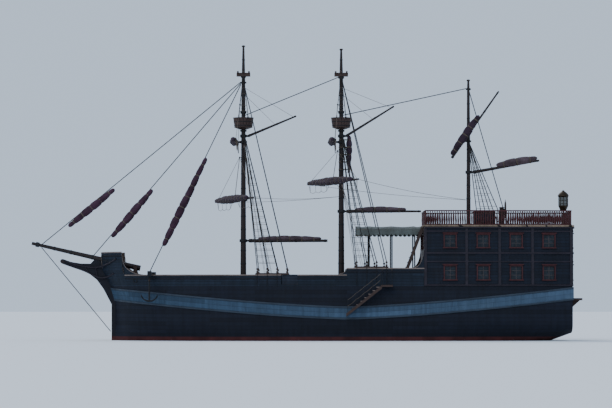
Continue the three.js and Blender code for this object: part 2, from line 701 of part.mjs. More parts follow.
// A furled sail, a soft roll swelling along its spar. Skew under 1 swells it near its start
function roll(from, to, radius, ends = 0.45, skew = 1, sides = 8) {
  const length = Math.hypot(...from.map((v, i) => to[i] - v));
  const steps = 6;
  const profile = [[0, 0]];
  for (let n = 0; n <= steps; n++) {
    const swell = ends + (1 - ends) * Math.sin(Math.PI * Math.pow(n / steps, skew));
    profile.push([radius * swell, length * n / steps]);
  }
  profile.push([0, length]);
  const points = profile.map(([r, v]) => new THREE.Vector2(r, v));
  const geometry = new THREE.LatheGeometry(points, sides);
  const run = new THREE.Vector3(...to).sub(new THREE.Vector3(...from)).normalize();
  const up = new THREE.Vector3(0, 1, 0);
  geometry.applyQuaternion(new THREE.Quaternion().setFromUnitVectors(up, run));
  geometry.translate(...from);
  return solid(geometry);
}

function yardSail(plan) {
  const x = MASTS[plan.mast].x + plan.ahead + plan.sail * 0.75;
  const z = plan.z + 40;
  const reach = plan.half * 0.86;
  const arm = box(x - 900, x - 10, -62, 62, plan.z - 62, plan.z + 62);
  const sail = roll([x, -reach, z], [x, reach, z], plan.sail)
    .subtract(yardPole(plan, SEAT)).subtract(arm);
  return braced(sail, plan);
}

// Booms and gaffs, hinged at a gooseneck on the mast's after side
const BOOMS = {
  fore: { mast: 'fore', z0: 6100, z1: 6100, end: 480, r0: 110, r1: 80, sail: [0.12, 0.92, 190] },
  main: { mast: 'main', z0: 7900, z1: 7900, end: -5250, r0: 105, r1: 60, sail: [0.12, 0.8, 180] },
  mizzen: { mast: 'mizzen', z0: 10300, z1: 11020, end: -12500, r0: 100, r1: 60,
    sail: [0.35, 0.97, 260] },
};

function boomLine(plan) {
  const x = MASTS[plan.mast].x - mastRadius(MASTS[plan.mast], plan.z0) - 160;
  return { from: [x, 0, plan.z0], to: [plan.end, 0, plan.z1] };
}

function boomPole(plan, grown = 0) {
  const { from, to } = boomLine(plan);
  return rod(from, to, plan.r0 + grown, plan.r1 + grown, 8);
}

function boom(plan, grown = 0) {
  const mast = MASTS[plan.mast];
  const clasp = ring(mast.x, plan.z0 - 90, plan.z0 + 90, mastRadius(mast, plan.z0 - 90),
    mastRadius(mast, plan.z0) + 70);
  const x = mast.x - mastRadius(mast, plan.z0);
  const arm = box(x - 240 - grown, x - 40, -45 - grown, 45 + grown, plan.z0 - 60 - grown,
    plan.z0 + 60 + grown);
  return join(boomPole(plan, grown), clasp, arm);
}

// Gaffs are held like booms, high up, and their sails are brailed in to the mast
const GAFFS = {
  fore: { mast: 'fore', z0: 12520, z1: 13750, end: 2400, r0: 80, r1: 50 },
  main: { mast: 'main', z0: 12520, z1: 14350, end: -3600, r0: 80, r1: 50 },
};
const BRAILED = { top: 12560, foot: 10200, behind: 480, radius: 200 };

function brailedSail(plan) {
  const { top, foot, behind, radius } = BRAILED;
  const x = MASTS[plan.mast].x - behind;
  return roll([x, 0, top], [x, 0, foot], radius, 0.3, 0.6).subtract(boom(plan, SEAT));
}

function boomSail(plan) {
  const { from, to } = boomLine(plan);
  const [t0, t1, radius] = plan.sail;
  const point = (t) => from.map((v, i) => v + (to[i] - v) * t + (i === 2 ? radius * 0.7 : 0));
  return roll(point(t0), point(t1), radius).subtract(boomPole(plan, SEAT));
}

// The lateen yard slants on the mizzen's port side
const LATEEN = { low: [-7120, 11150], high: [-10000, 15240], y: 420, sling: 12900, r: 80 };

function lateenPole(grown = 0) {
  const [x0, z0] = LATEEN.low;
  const [x1, z1] = LATEEN.high;
  return rod([x0, LATEEN.y, z0], [x1, LATEEN.y, z1], LATEEN.r + grown, 50 + grown, 8);
}

function lateenYard() {
  const mast = MASTS.mizzen;
  const r = mastRadius(mast, LATEEN.sling);
  const parrel = ring(mast.x, LATEEN.sling - 80, LATEEN.sling + 80,
    mastRadius(mast, LATEEN.sling - 80), r + 80);
  const arm = box(mast.x - 150, mast.x + 10, r + 50, LATEEN.y, LATEEN.sling - 60,
    LATEEN.sling + 60);
  return join(lateenPole(), parrel, arm);
}

function lateenSail() {
  const [x0, z0] = LATEEN.low;
  const [x1, z1] = LATEEN.high;
  const point = (t, off) => [x0 + (x1 - x0) * t + off * 0.8, LATEEN.y + 40,
    z0 + (z1 - z0) * t + off * 0.55];
  const { x } = MASTS.mizzen;
  const arm = box(x - 152, x + 12, 0, LATEEN.y + 2, LATEEN.sling - 62, LATEEN.sling + 62);
  const mast = box(x - 300, x + 300, 0, 215, z0, z1);
  return roll(point(0.03, 150), point(0.62, 150), 260).subtract(lateenPole(SEAT))
    .subtract(arm).subtract(mast);
}

// Jibs furled on the fore stays: stay, ends by height, radius, how far they hang below it
const JIBS = [
  ['tip', 7200, 9500, 230, 230],
  ['head', 6500, 9400, 230, 170],
  ['deck', 5900, 11300, 230, 120],
];

function stayPoint(name, z) {
  const top = stayHead(MASTS.fore, Object.keys(FORE_STAYS).indexOf(name));
  const end = FORE_STAYS[name];
  const t = (z - end[2]) / (top[2] - end[2]);
  return end.map((v, i) => v + (top[i] - v) * t);
}

function jib([name, z0, z1, radius, hang]) {
  const low = stayPoint(name, z0);
  const high = stayPoint(name, z1);
  const drop = (point) => [point[0], 0, point[2] - hang];
  const tunnel = rod(stayPoint(name, z1 + 900), stayPoint(name, z0 - 900),
    CABLE + SEAT, CABLE + SEAT, 6);
  return roll(drop(low), drop(high), radius, 0.4).subtract(tunnel);
}

// Awning between the main mast and the castle
const AWNING = { fore: -1250, aft: -5240, half: 1980, z: 6760, crown: 6930,
  posts: [-2040, -3420, -4800] };

function awningFrame() {
  const parts = [];
  for (const side of [1, -1]) {
    const y = side * (AWNING.half - 60);
    for (const x of AWNING.posts) {
      parts.push(rod([x, y, DECK + SEAT], [x, y, AWNING.z - 50], 45, 45, 6));
    }
    parts.push(box(AWNING.aft, AWNING.fore, y - 40, y + 40, AWNING.z - 90, AWNING.z));
  }
  for (const x of AWNING.posts) {
    parts.push(box(x - 30, x + 30, -AWNING.half + 60, AWNING.half - 60,
      AWNING.z - 75, AWNING.z - 15));
  }
  return join(parts);
}

function awning() {
  const z = AWNING.z + SEAT;
  const hem = AWNING.half - 130;
  const rise = (y) => z + Math.max(0, (AWNING.crown - AWNING.z) * (1 - (y / hem) ** 2));
  const spans = [AWNING.half, hem, 1250, 600, 0, -600, -1250, -hem, -AWNING.half];
  const left = spans.map((y) => [y, rise(y) + 60]);
  const right = spans.map((y) => [y, rise(y)]);
  return loft([AWNING.aft, AWNING.fore].map((x) => ({
    left: left.map(([y, top]) => [x, y, top]),
    right: right.map(([y, low]) => [x, y, low]),
  })));
}

// Fittings on the castle

const HOUSE = { x0: -9700, x1: -8500, half: 760, top: 7900 };

function house() {
  const z0 = TOP_DECK + SEAT;
  return join(
    box(HOUSE.x0, HOUSE.x1, -HOUSE.half, HOUSE.half, z0, HOUSE.top),
    box(HOUSE.x0 - 60, HOUSE.x1 + 60, -HOUSE.half - 60, HOUSE.half + 60,
      HOUSE.top - 60, HOUSE.top),
  );
}

const WHEEL = { x: -10420, z: 8000, r: 480, axle: 40 };

function helmStand() {
  const z0 = TOP_DECK + SEAT;
  const post = box(WHEEL.x + 100, WHEEL.x + 360, -160, 160, z0, WHEEL.z + 160);
  const bore = rod([WHEEL.x, 0, WHEEL.z], [WHEEL.x + 300, 0, WHEEL.z],
    WHEEL.axle + 0.5, WHEEL.axle + 0.5, 24, Math.PI / 24);
  return join(post, box(WHEEL.x + 40, WHEEL.x + 420, -240, 240, z0, z0 + 120)).subtract(bore);
}

function helmWheel() {
  const { x, z, r } = WHEEL;
  const rim = new THREE.TorusGeometry(r, 36, 5, 16);
  rim.rotateY(Math.PI / 2);
  rim.translate(x, 0, z);
  const parts = [solid(rim), rod([x - 60, 0, z], [x + 60, 0, z], 90, 90, 12),
    rod([x, 0, z], [x + 290, 0, z], WHEEL.axle, WHEEL.axle, 24)];
  for (let n = 0; n < 8; n++) {
    const angle = n * Math.PI / 4;
    const [y, up] = [Math.sin(angle), Math.cos(angle)];
    parts.push(rod([x, y * 40, z + up * 40], [x, y * (r + 150), z + up * (r + 150)], 20, 20, 5));
  }
  return join(parts);
}

const LANTERN = { x: STERN_X + 380, z0: 7950, z1: 9200, r: 300 };

function lantern() {
  const { x, z0, z1, r } = LANTERN;
  const body = turned([[0, TOP_DECK + SEAT], [60, TOP_DECK + SEAT], [60, z0], [r * 0.6, z0],
    [r, z0 + 250], [r, z1 - 400], [r * 1.15, z1 - 340], [r * 0.4, z1 - 80], [60, z1], [0, z1]],
  x, 0, 8);
  return body;
}

function sternPlatform() {
  const x1 = STERN_X - STRAKE_PROUD - 2 * SEAT;
  const braces = [-1500, 0, 1500].map((y) => slab([[x1, 2050], [x1, 2480], [x1 - 480, 2480]],
    y - 60, y + 60));
  return join(box(x1 - 560, x1, -2000, 2000, 2450, 2580), ...braces);
}

// Ladder from the waist to the top deck, on the port side
function ladder() {
  const steps = 13;
  const [x0, x1] = [-3900, CASTLE_FRONT + WALL + 80];
  const [z0, z1] = [DECK + SEAT, TOP_DECK - 120];
  const y = LADDER.y;
  const wide = LADDER.half;
  const side = (yy) => slab([[x0, z0], [x0 + 200, z0], [x1 + 90, z1], [x1, z1],
    [x1, z1 - 250]], yy - 25, yy + 25);
  const parts = [side(y - wide), side(y + wide)];
  for (let n = 1; n < steps; n++) {
    const t = n / steps;
    const x = x0 + 60 + (x1 - x0 - 60) * t;
    const z = z0 + (z1 - z0) * t;
    parts.push(box(x - 60, x + 170, y - wide, y + wide, z - 40, z));
  }
  return join(parts);
}

// Ground tackle

function windlass() {
  const z0 = FORE_DECK - 20;
  const x = 12760;
  const cheek = (y) => box(x - 120, x + 120, y - 50, y + 50, z0, z0 + 560);
  const drum = rod([x, -520, z0 + 380], [x, 520, z0 + 380], 140, 140, 10);
  return join(cheek(-330), cheek(330), drum);
}

function anchor(side) {
  const x = (CATHEAD.x0 + CATHEAD.x1) / 2;
  const y = side * (breadthAt(CATHEAD.x0, WAIST_RAIL) + CATHEAD.out - 150);
  const top = 3900 - SEAT;
  const foot = top - 1500;
  const arms = [1, -1].flatMap((end) => [
    rod([x, y, foot], [x + end * 480, y, foot + 320], 60, 45, 8),
    box(Math.min(x + end * 380, x + end * 560), Math.max(x + end * 380, x + end * 560),
      y - 110, y + 110, foot + 250, foot + 420),
  ]);
  const parts = [rod([x, y, foot - 20], [x, y, top], 48, 40, 8),
    rod([x, y - 480, top - 260], [x, y + 480, top - 260], 40, 40, 8)];
  return join(parts, arms);
}

// Rudder and propeller

function rudder() {
  const { x, radius, foot, trunk } = RUDDER;
  const blade = slab([[x + 60, foot + 40], [x - 900, foot + 80], [x - 1050, -1500],
    [x - 900, -560], [x + 60, -560]], -55, 55);
  const stock = turned([[0, KEEL_FOOT + 100 + SEAT], [radius * 0.6, KEEL_FOOT + 100 + SEAT],
    [radius * 0.6, foot + 40], [radius, foot + 40], [radius, trunk - 40], [0, trunk - 40]],
  x, 0, 24, Math.PI / 24);
  return join(blade, stock);
}

const PROP = { x: -11420, radius: 500, hub: 110, blades: 4 };

function propeller() {
  const { z, radius: shaft, post } = SHAFT;
  const hub = rod([PROP.x - 170, 0, z], [post - 2, 0, z], PROP.hub * 0.6, PROP.hub, 16);
  const stub = rod([PROP.x, 0, z], [post + 300, 0, z], shaft, shaft, 24);
  const parts = [hub, stub];
  for (let n = 0; n < PROP.blades; n++) {
    const geometry = new THREE.BoxGeometry(40, 300, PROP.radius - 60);
    geometry.rotateZ(Math.PI / 5);
    geometry.translate(0, 0, (PROP.radius - 60) / 2 + 60);
    geometry.rotateX(n * 2 * Math.PI / PROP.blades);
    geometry.translate(PROP.x, 0, z);
    parts.push(solid(geometry));
  }
  return join(parts);
}

// The ship

const SIDES = [['port', 1], ['starboard', -1]];

piece('hull', hull(), NEAR_BLACK, 0.5);
piece('keel', keel(), NEAR_BLACK, 0.6);
piece('strake', strake(), PALE_BAND, 0.5);
piece('main_deck', mainDeck(), DECK_WOOD, 0.8);
piece('fore_deck', foreDeck(), DECK_WOOD, 0.8);
for (const [name, side] of SIDES) {
  piece(`bulwark_${name}`, bulwark(side), NEAR_BLACK, 0.5);
  piece(`gate_${name}`, gate(side), NEAR_BLACK, 0.5);
  piece(`quarter_wall_${name}`, quarterWall(side), NEAR_BLACK, 0.55);
  piece(`door_${name}`, door(side), DEEP_RED, 0.6);
  piece(`anchor_${name}`, anchor(side), IRON, 0.6, 0.6);
}
piece('transom', transom(), NEAR_BLACK, 0.55);
piece('front_bulkhead', frontBulkhead(), DARK_WOOD, 0.6);
piece('mid_deck', midDeck(), DECK_WOOD, 0.8);
piece('top_deck', topDeck(), DECK_WOOD, 0.8);
piece('poop_rail', poopRail(), DEEP_RED, 0.6);
piece('deck_house', house(), DEEP_RED, 0.6);
piece('helm_stand', helmStand(), DARK_WOOD, 0.6);
piece('helm_wheel', helmWheel(), DARK_WOOD, 0.5);
piece('stern_lantern', lantern(), BRONZE, 0.4, 0.8);
piece('stern_platform', sternPlatform(), DARK_WOOD, 0.7);
piece('hatch', hatch(), DARK_WOOD, 0.7);
piece('ladder', ladder(), DARK_WOOD, 0.7);
piece('bowsprit', bowsprit(), SPAR, 0.5);
piece('awning_frame', awningFrame(), IRON, 0.5, 0.6);
piece('awning', awning(), CANVAS, 0.9);
for (const [name, mast] of Object.entries(MASTS)) {
  piece(`${name}_mast`, mastBody(mast, name !== 'mizzen'), SPAR, 0.5);
}
piece('fore_rigging', foreRigging(), IRON, 0.8);
piece('main_rigging', aftRigging('main', 'fore'), IRON, 0.8);
piece('mizzen_rigging', aftRigging('mizzen', 'main'), IRON, 0.8);
for (const [name, plan] of Object.entries(YARDS)) {
  piece(`${name}_yard`, yard(plan), SPAR, 0.5);
  piece(`${name}_sail`, yardSail(plan), FURLED, 0.9);
}
for (const [name, plan] of Object.entries(BOOMS)) {
  piece(`${name}_boom`, boom(plan), SPAR, 0.5);
  piece(`${name}_boom_sail`, boomSail(plan), FURLED, 0.9);
}
for (const [name, plan] of Object.entries(GAFFS)) {
  piece(`${name}_gaff`, boom(plan), SPAR, 0.5);
}
piece('main_gaff_sail', brailedSail(GAFFS.main), FURLED, 0.9);
piece('lateen_yard', lateenYard(), SPAR, 0.5);
piece('lateen_sail', lateenSail(), FURLED, 0.9);
JIBS.forEach((row, n) => piece(`jib_${n + 1}`, jib(row), FURLED, 0.9));
piece('rudder', rudder(), NEAR_BLACK, 0.6);
piece('propeller', propeller(), BRONZE, 0.35, 0.9);

const ship = new THREE.Group();
for (const { name, body, colour, roughness, metalness } of pieces) {
  const material = new THREE.MeshStandardMaterial({ color: colour, roughness, metalness });
  const mesh = new THREE.Mesh(geometryOf(body), material);
  mesh.name = name;
  ship.add(mesh);
}

export default ship;
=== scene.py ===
"""Finish of a three-masted excursion sailing ship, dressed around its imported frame. Metres."""

import math

import bmesh
import bpy
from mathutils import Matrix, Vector
from mathutils.noise import noise as noise_at


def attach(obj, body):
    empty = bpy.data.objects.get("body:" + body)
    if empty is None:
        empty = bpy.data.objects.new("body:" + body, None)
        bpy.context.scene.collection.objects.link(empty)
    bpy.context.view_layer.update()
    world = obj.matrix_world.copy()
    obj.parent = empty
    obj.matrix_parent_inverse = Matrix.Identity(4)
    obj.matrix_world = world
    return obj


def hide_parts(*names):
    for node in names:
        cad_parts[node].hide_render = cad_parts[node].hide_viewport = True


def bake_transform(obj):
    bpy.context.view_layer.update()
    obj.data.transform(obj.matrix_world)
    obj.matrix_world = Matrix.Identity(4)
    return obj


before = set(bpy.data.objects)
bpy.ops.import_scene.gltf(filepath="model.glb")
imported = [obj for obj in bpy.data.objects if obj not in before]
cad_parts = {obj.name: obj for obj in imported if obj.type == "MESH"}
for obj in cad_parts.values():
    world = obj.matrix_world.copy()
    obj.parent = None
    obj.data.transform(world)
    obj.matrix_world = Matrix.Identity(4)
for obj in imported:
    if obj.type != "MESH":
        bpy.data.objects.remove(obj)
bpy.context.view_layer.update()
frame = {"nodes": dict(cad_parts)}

# Driving dimensions, the same as in the part's source
KEEL_HALF = 0.12
CHINE = 1.2
HULL_TOP = 3.3
WELL_FLOOR = 2.9
DECK = 2.95
WALL = 0.12
STEM_X = 13.45
STERN_X = -14.35
CASTLE_FRONT = -5.46
TOP_DECK = 7.0
FORE_DECK = 3.35
FORE_DECK_AFT = 11.6
WAIST_RAIL = 4.0
AFT_RAIL = 4.4
BOW_RAIL = 5.4
AFT_RAIL_X = -0.66
BOW_RAIL_X = 12.4
STRAKE_HALF = 0.4
STRAKE_PROUD = 0.06
GATE = (2.3, 3.3, 3.4)
WINDOW_X = (-6.9, -8.9, -10.9, -12.9)
WINDOW_ROWS = ((3.7, 4.5), (5.65, 6.4))
WINDOW_HALF = 0.33
STERN_WINDOW_Y = (-1.65, -0.55, 0.55, 1.65)
FRONT_WINDOW_Y = 1.25

# Hull stations: x, bottom, breadth at chine, breadth at rail, fullness, bend
STATIONS = (
    (-14.35, 0.45, 2.45, 2.45, 3.2, 0),
    (-13.2, 0.02, 2.75, 2.65, 2.6, 0),
    (-12.0, -0.42, 3.0, 2.85, 2.2, 0),
    (-10.6, -1.05, 3.2, 3.02, 1.75, 0),
    (-8.4, -2.0, 3.42, 3.2, 1.6, 0),
    (-5.0, -2.2, 3.56, 3.36, 2.1, 0),
    (-1.0, -2.2, 3.6, 3.42, 2.6, 0),
    (3.0, -2.2, 3.6, 3.42, 2.6, 0),
    (6.5, -2.2, 3.45, 3.35, 2.2, 0),
    (9.3, -2.2, 3.0, 3.08, 1.8, 0),
    (11.3, -2.2, 2.18, 2.48, 1.55, 0.3),
    (12.5, -2.2, 1.28, 1.68, 1.4, 0.7),
    (13.45, -2.2, 0.12, 0.12, 1.2, 1),
)

# Masts: x, height of hounds, head and truck, radius at foot, head and truck
MASTS = {
    "fore": dict(x=5.64, hounds=12.84, head=15.8, truck=18.1, r0=0.185, rh=0.115, r1=0.06),
    "main": dict(x=-0.36, hounds=12.84, head=16.1, truck=17.9, r0=0.195, rh=0.115, r1=0.06),
    "mizzen": dict(x=-8.16, hounds=12.2, head=15.4, truck=16.0, r0=0.16, rh=0.085, r1=0.06),
}


# Camera and light

VIEW_WIDTH = 37.5
VIEW_LENS = 200
AIM = Vector((1.8, 0, 8.35))
EYE_RISE = 2.2


def camera():
    data = bpy.data.cameras.new("camera")
    data.lens = VIEW_LENS
    data.sensor_width = 36
    data.clip_end = 2000
    eye = bpy.data.objects.new("camera", data)
    distance = VIEW_WIDTH / 2 / (data.sensor_width / 2 / data.lens)
    eye.location = (AIM.x, distance, EYE_RISE)
    eye.rotation_euler = (AIM - eye.location).to_track_quat("-Z", "Y").to_euler()
    bpy.context.collection.objects.link(eye)
    bpy.context.scene.camera = eye


def sun(name, strength, angle, direction, colour):
    data = bpy.data.lights.new(name, "SUN")
    data.energy = strength
    data.angle = math.radians(angle)
    data.color = colour
    lamp = bpy.data.objects.new(name, data)
    lamp.rotation_euler = Vector(direction).to_track_quat("-Z", "Y").to_euler()
    bpy.context.collection.objects.link(lamp)


def stage():
    world = bpy.data.worlds.new("soft")
    world.use_nodes = True
    sky = world.node_tree.nodes["Background"]
    sky.inputs["Color"].default_value = (0.66, 0.8, 1.0, 1)
    sky.inputs["Strength"].default_value = 0.92
    bpy.context.scene.world = world
    sun("fill", 0.9, 40, (-0.45, -0.8, -0.6), (1.0, 0.98, 0.95))
    sun("rim", 1.3, 25, (-0.45, 0.75, -0.8), (1.0, 0.97, 0.92))
    bpy.ops.mesh.primitive_plane_add(size=1600)
    floor = bpy.context.object
    floor.name = "floor"
    floor.data.materials.append(shader("floor_paint", (0.735, 0.775, 0.82), 0.85)[0])


# Materials

def node(tree, kind, inputs, **settings):
    """A new shader node with its settings, and a value or a link for each input named."""
    made = tree.nodes.new("ShaderNode" + kind)
    for name, value in settings.items():
        setattr(made, name, value)
    for name, value in inputs.items():
        if isinstance(value, bpy.types.NodeSocket):
            tree.links.new(value, made.inputs[name])
        else:
            made.inputs[name].default_value = value
    return made


def shader(name, colour, roughness, metallic=0.0):
    material = bpy.data.materials.new(name)
    material.use_nodes = True
    base = material.node_tree.nodes["Principled BSDF"]
    for socket, value in (("Base Color", (*colour, 1)), ("Roughness", roughness),
                          ("Metallic", metallic), ("Specular IOR Level", 0.2)):
        base.inputs[socket].default_value = value
    return material, material.node_tree, base


def noise(tree, where, scale, detail=4.0, stretch=(1, 1, 1)):
    turn = node(tree, "Mapping", {"Scale": stretch, "Vector": where})
    texture = node(tree, "TexNoise", {"Scale": scale, "Detail": detail,
                                      "Vector": turn.outputs["Vector"]})
    return texture.outputs["Fac"]


def ramp(tree, value, low, dark, high, light):
    """Colours that run from dark at the low value to light at the high one."""
    made = node(tree, "ValToRGB", {"Fac": value})
    for point, place, colour in zip(made.color_ramp.elements, (low, high), (dark, light)):
        point.position = place
        point.color = (*colour, 1)
    return made.outputs["Color"]


def shade(colour, factor):
    return tuple(min(1.0, c * factor) for c in colour)


def grey(value):
    return (value, value, value)


def blend_colours(tree, mode, share, a, b):
    mixer = node(tree, "Mix", {}, data_type="RGBA", blend_type=mode)
    for name, value in (("Factor", share), ("A", a), ("B", b)):
        if isinstance(value, bpy.types.NodeSocket):
            tree.links.new(value, mixer.inputs[name])
        else:
            mixer.inputs[name].default_value = value
    return mixer.outputs["Result"]


def finish_surface(tree, base, colour, rough, bump, strength, distance):
    """Gives the shader its colour, its roughness from a texture and its relief."""
    relief = node(tree, "Bump", {"Strength": strength, "Distance": distance, "Height": bump})
    tree.links.new(colour, base.inputs["Base Color"])
    tree.links.new(relief.outputs["Normal"], base.inputs["Normal"])
    if rough:
        low, high, value = rough
        spread = node(tree, "MapRange", {"To Min": low, "To Max": high, "Value": value})
        tree.links.new(spread.outputs["Result"], base.inputs["Roughness"])


def object_place(tree):
    return node(tree, "TexCoord", {}).outputs["Object"]


def along_axis(tree, where, axis):
    return node(tree, "SeparateXYZ", {"Vector": where}).outputs[axis]


def plank_vector(tree, axes):
    """The first axis lays the planks along and the second stacks them, or the uv layer does."""
    if axes == "uv":
        return node(tree, "TexCoord", {}).outputs["UV"]
    where = object_place(tree)
    join = node(tree, "CombineXYZ", {"X": along_axis(tree, where, axes[0]),
                                     "Y": along_axis(tree, where, axes[1])})
    return join.outputs["Vector"]


BOOT_TOP = 0.25
BOOT_EDGE = 0.01
ANTIFOULING = (0.05, 0.012, 0.012)


def coat_below(tree, colour, where):
    """A mottled red coat below the boot top."""
    edge = node(tree, "MapRange", {
        "From Min": BOOT_TOP - BOOT_EDGE, "From Max": BOOT_TOP + BOOT_EDGE, "To Min": 1,
        "To Max": 0, "Value": along_axis(tree, where, "Z")})
    red = ramp(tree, noise(tree, where, 1.3, 6, (1, 1, 0.6)),
               0.3, shade(ANTIFOULING, 0.6), 0.7, shade(ANTIFOULING, 1.5))
    return blend_colours(tree, "MIX", edge.outputs["Result"], colour, red)


def tone_along_length(tree, colour, where, x_fore, x_aft, fore, aft):
    """Colour multiplied by a tone that runs from one value forward to another aft."""
    share = node(tree, "MapRange", {"From Min": x_aft, "From Max": x_fore,
                                    "Value": along_axis(tree, where, "X")})
    tone = ramp(tree, share.outputs["Result"], 0.0, aft, 1.0, fore)
    return blend_colours(tree, "MULTIPLY", 1.0, colour, tone)


def multiply_add(tree, value, factor, added):
    return node(tree, "Math", {0: value, 1: factor, 2: added},
                operation="MULTIPLY_ADD").outputs[0]


def planked(name, colour, axes, width, length, seam, roughness=(0.45, 0.7), wear=0.25,
            gap=0.012, depth=0.006, stain=None, afloat=False, length_tone=None):
    """Planks with dark seams, grain along them, weather streaks and worn patches."""
    material, tree, base = shader(name, colour, roughness[0])
    place, where = plank_vector(tree, axes), object_place(tree)
    brick = node(tree, "TexBrick", {
        "Scale": 1, "Brick Width": length, "Row Height": width, "Mortar Size": gap,
        "Mortar Smooth": 0.3, "Color1": (*shade(colour, 0.8), 1),
        "Color2": (*shade(colour, 1.3), 1), "Mortar": (*seam, 1), "Vector": place})
    grain = noise(tree, place, 9, 6, (0.35, 9, 1))
    patch = noise(tree, where, 0.8, 5)
    streak = noise(tree, where, 1.7, 5, (3.2, 3.2, 0.35))
    grained = ramp(tree, grain, 0.3, grey(0.72), 0.7, grey(1.1))
    first = blend_colours(tree, "MULTIPLY", 0.8, brick.outputs["Color"], grained)
    mask = ramp(tree, patch, 0.52, grey(0), 0.75, grey(wear))
    second = blend_colours(tree, "MIX", mask, first, (*(stain or shade(colour, 2.1)), 1))
    streaks = ramp(tree, streak, 0.35, grey(0.7), 0.65, grey(1.12))
    colour_out = blend_colours(tree, "MULTIPLY", 0.7, second, streaks)
    if afloat:
        colour_out = coat_below(tree, colour_out, where)
    if length_tone:
        colour_out = tone_along_length(tree, colour_out, where, *length_tone)
    height = multiply_add(tree, brick.outputs["Fac"], -1, grain)
    finish_surface(tree, base, colour_out, (*roughness, patch), height, 0.6, depth)
    return material


def coated(name, colour, roughness=(0.35, 0.6), metallic=0.0, wear=0.2, scale=3.0,
           stretch=(1, 1, 1), depth=0.003, stain=None, afloat=False):
    """Paint, metal or timber with no seams: mottled and worn."""
    material, tree, base = shader(name, colour, roughness[0], metallic)
    where = object_place(tree)
    patch = noise(tree, where, scale, 6, stretch)
    fine = noise(tree, where, scale * 14, 4, stretch)
    tone = ramp(tree, patch, 0.3, shade(colour, 0.7), 0.7, shade(colour, 1.3))
    mask = ramp(tree, fine, 0.58, grey(0), 0.72, grey(wear))
    colour_out = blend_colours(tree, "MIX", mask, tone, (*(stain or shade(colour, 2.2)), 1))
    if afloat:
        colour_out = coat_below(tree, colour_out, where)
    finish_surface(tree, base, colour_out, (*roughness, patch), fine, 0.4, depth)
    return material


def cloth(name, colour, roughness=0.9, weave=16.0, fold=1.0, crease_shade=(0.6, 1.35)):
    """Sailcloth: a fine weave, soft creases and a faint sheen. The creases carry painted shade in
    their hollows and a painted highlight on their ridges.
    """
    material, tree, base = shader(name, colour, roughness)
    base.inputs["Sheen Weight"].default_value = 0.03
    base.inputs["Sheen Roughness"].default_value = 0.5
    where = object_place(tree)
    threads = [node(tree, "TexWave", {"Scale": weave, "Distortion": 0.6, "Vector": where},
                    bands_direction=axis).outputs["Fac"] for axis in "XZ"]
    crease = noise(tree, where, 2.2, 7)
    stain = noise(tree, where, 0.9, 5)
    weave_sum = node(tree, "Math", dict(enumerate(threads)), operation="ADD")
    # Painted shade and highlight: the noise that raises the creases also darkens the cloth in their
    # hollows and lightens it on their ridges
    low, high = (shade(colour, factor) for factor in crease_shade)
    dirt = ramp(tree, stain, 0.35, (0.7, 0.68, 0.68), 0.65, grey(1.1))
    colour_out = blend_colours(tree, "MULTIPLY", 0.8, ramp(tree, crease, 0.3, low, 0.7, high), dirt)
    height = multiply_add(tree, weave_sum.outputs[0], 0.08, crease)
    finish_surface(tree, base, colour_out, None, height, 0.7, 0.02 * fold)
    return material


def glass(name):
    # Painted shade: the pane is near black, a dark sheet that stands for the unlit room behind it;
    # the noise varies it with smears
    material, tree, base = shader(name, (0.01, 0.013, 0.018), 0.12)
    smear = noise(tree, object_place(tree), 5, 4)
    tone = ramp(tree, smear, 0.3, (0.006, 0.009, 0.013), 0.7, (0.02, 0.026, 0.034))
    finish_surface(tree, base, tone, (0.08, 0.25, smear), smear, 0.1, 0.002)
    return material


# Roughness of paint and of oiled timber, and the tar in the seams of dark planks
PAINT, OILED = (0.55, 0.8), (0.45, 0.7)
TAR = (0.002, 0.002, 0.004)
EVEN = (1, 1, 1)

# Colour, axes, width and length of a plank, seam, roughness, wear, gap, depth, stain, afloat, and a
# tone along the length
PLANKED = {
    "hull_paint": ((0.006, 0.008, 0.016), "uv", 0.24, 5.5, TAR, PAINT, 0.1, 0.01, 0.008,
                   (0.022, 0.02, 0.026), True),
    # Painted shade: the band's pale paint is laid much darker here, as it looks in shade
    "band_paint": ((0.062, 0.105, 0.165), "uv", 0.27, 5.0, (0.022, 0.036, 0.058), PAINT, 0.3,
                   0.008, 0.006, (0.1, 0.14, 0.18), False,
                   # The last entry darkens the band towards the bow
                   (12, -13, (0.42, 0.5, 0.54), (1.0, 1.0, 1.0))),
    "castle_paint": ((0.006, 0.009, 0.018), "XZ", 0.19, 4.2, TAR, PAINT, 0.2, 0.012, 0.009,
                     (0.026, 0.023, 0.028)),
    "transom_paint": ((0.013, 0.011, 0.018), "YZ", 0.19, 3.1, TAR, PAINT, 0.2, 0.012, 0.009,
                      (0.03, 0.024, 0.027)),
    "bulkhead_wood": ((0.05, 0.03, 0.025), "ZX", 0.16, 2.4, (0.01, 0.007, 0.006), (0.5, 0.7), 0.2),
    "deck_wood": ((0.2, 0.148, 0.105), "XY", 0.14, 4.5, (0.022, 0.018, 0.015), (0.6, 0.85), 0.35,
                  0.008, 0.003, (0.27, 0.23, 0.19)),
    "bulwark_paint": ((0.009, 0.015, 0.027), "uv", 0.17, 4.6, (0.002, 0.003, 0.005), PAINT, 0.2,
                      0.01, 0.007, (0.03, 0.03, 0.038)),
    "bulwark_inner": ((0.07, 0.047, 0.038), "uv", 0.15, 3.2, (0.014, 0.01, 0.008), (0.5, 0.75)),
    "gate_paint": ((0.013, 0.018, 0.03), "XZ", 0.17, 3.0, (0.003, 0.004, 0.006), PAINT, 0.2,
                   0.01, 0.006, (0.034, 0.032, 0.04)),
    "house_wood": ((0.046, 0.014, 0.017), "ZX", 0.13, 1.6, (0.01, 0.004, 0.005), (0.5, 0.72),
                   0.2, 0.008, 0.005, (0.08, 0.042, 0.038)),
}
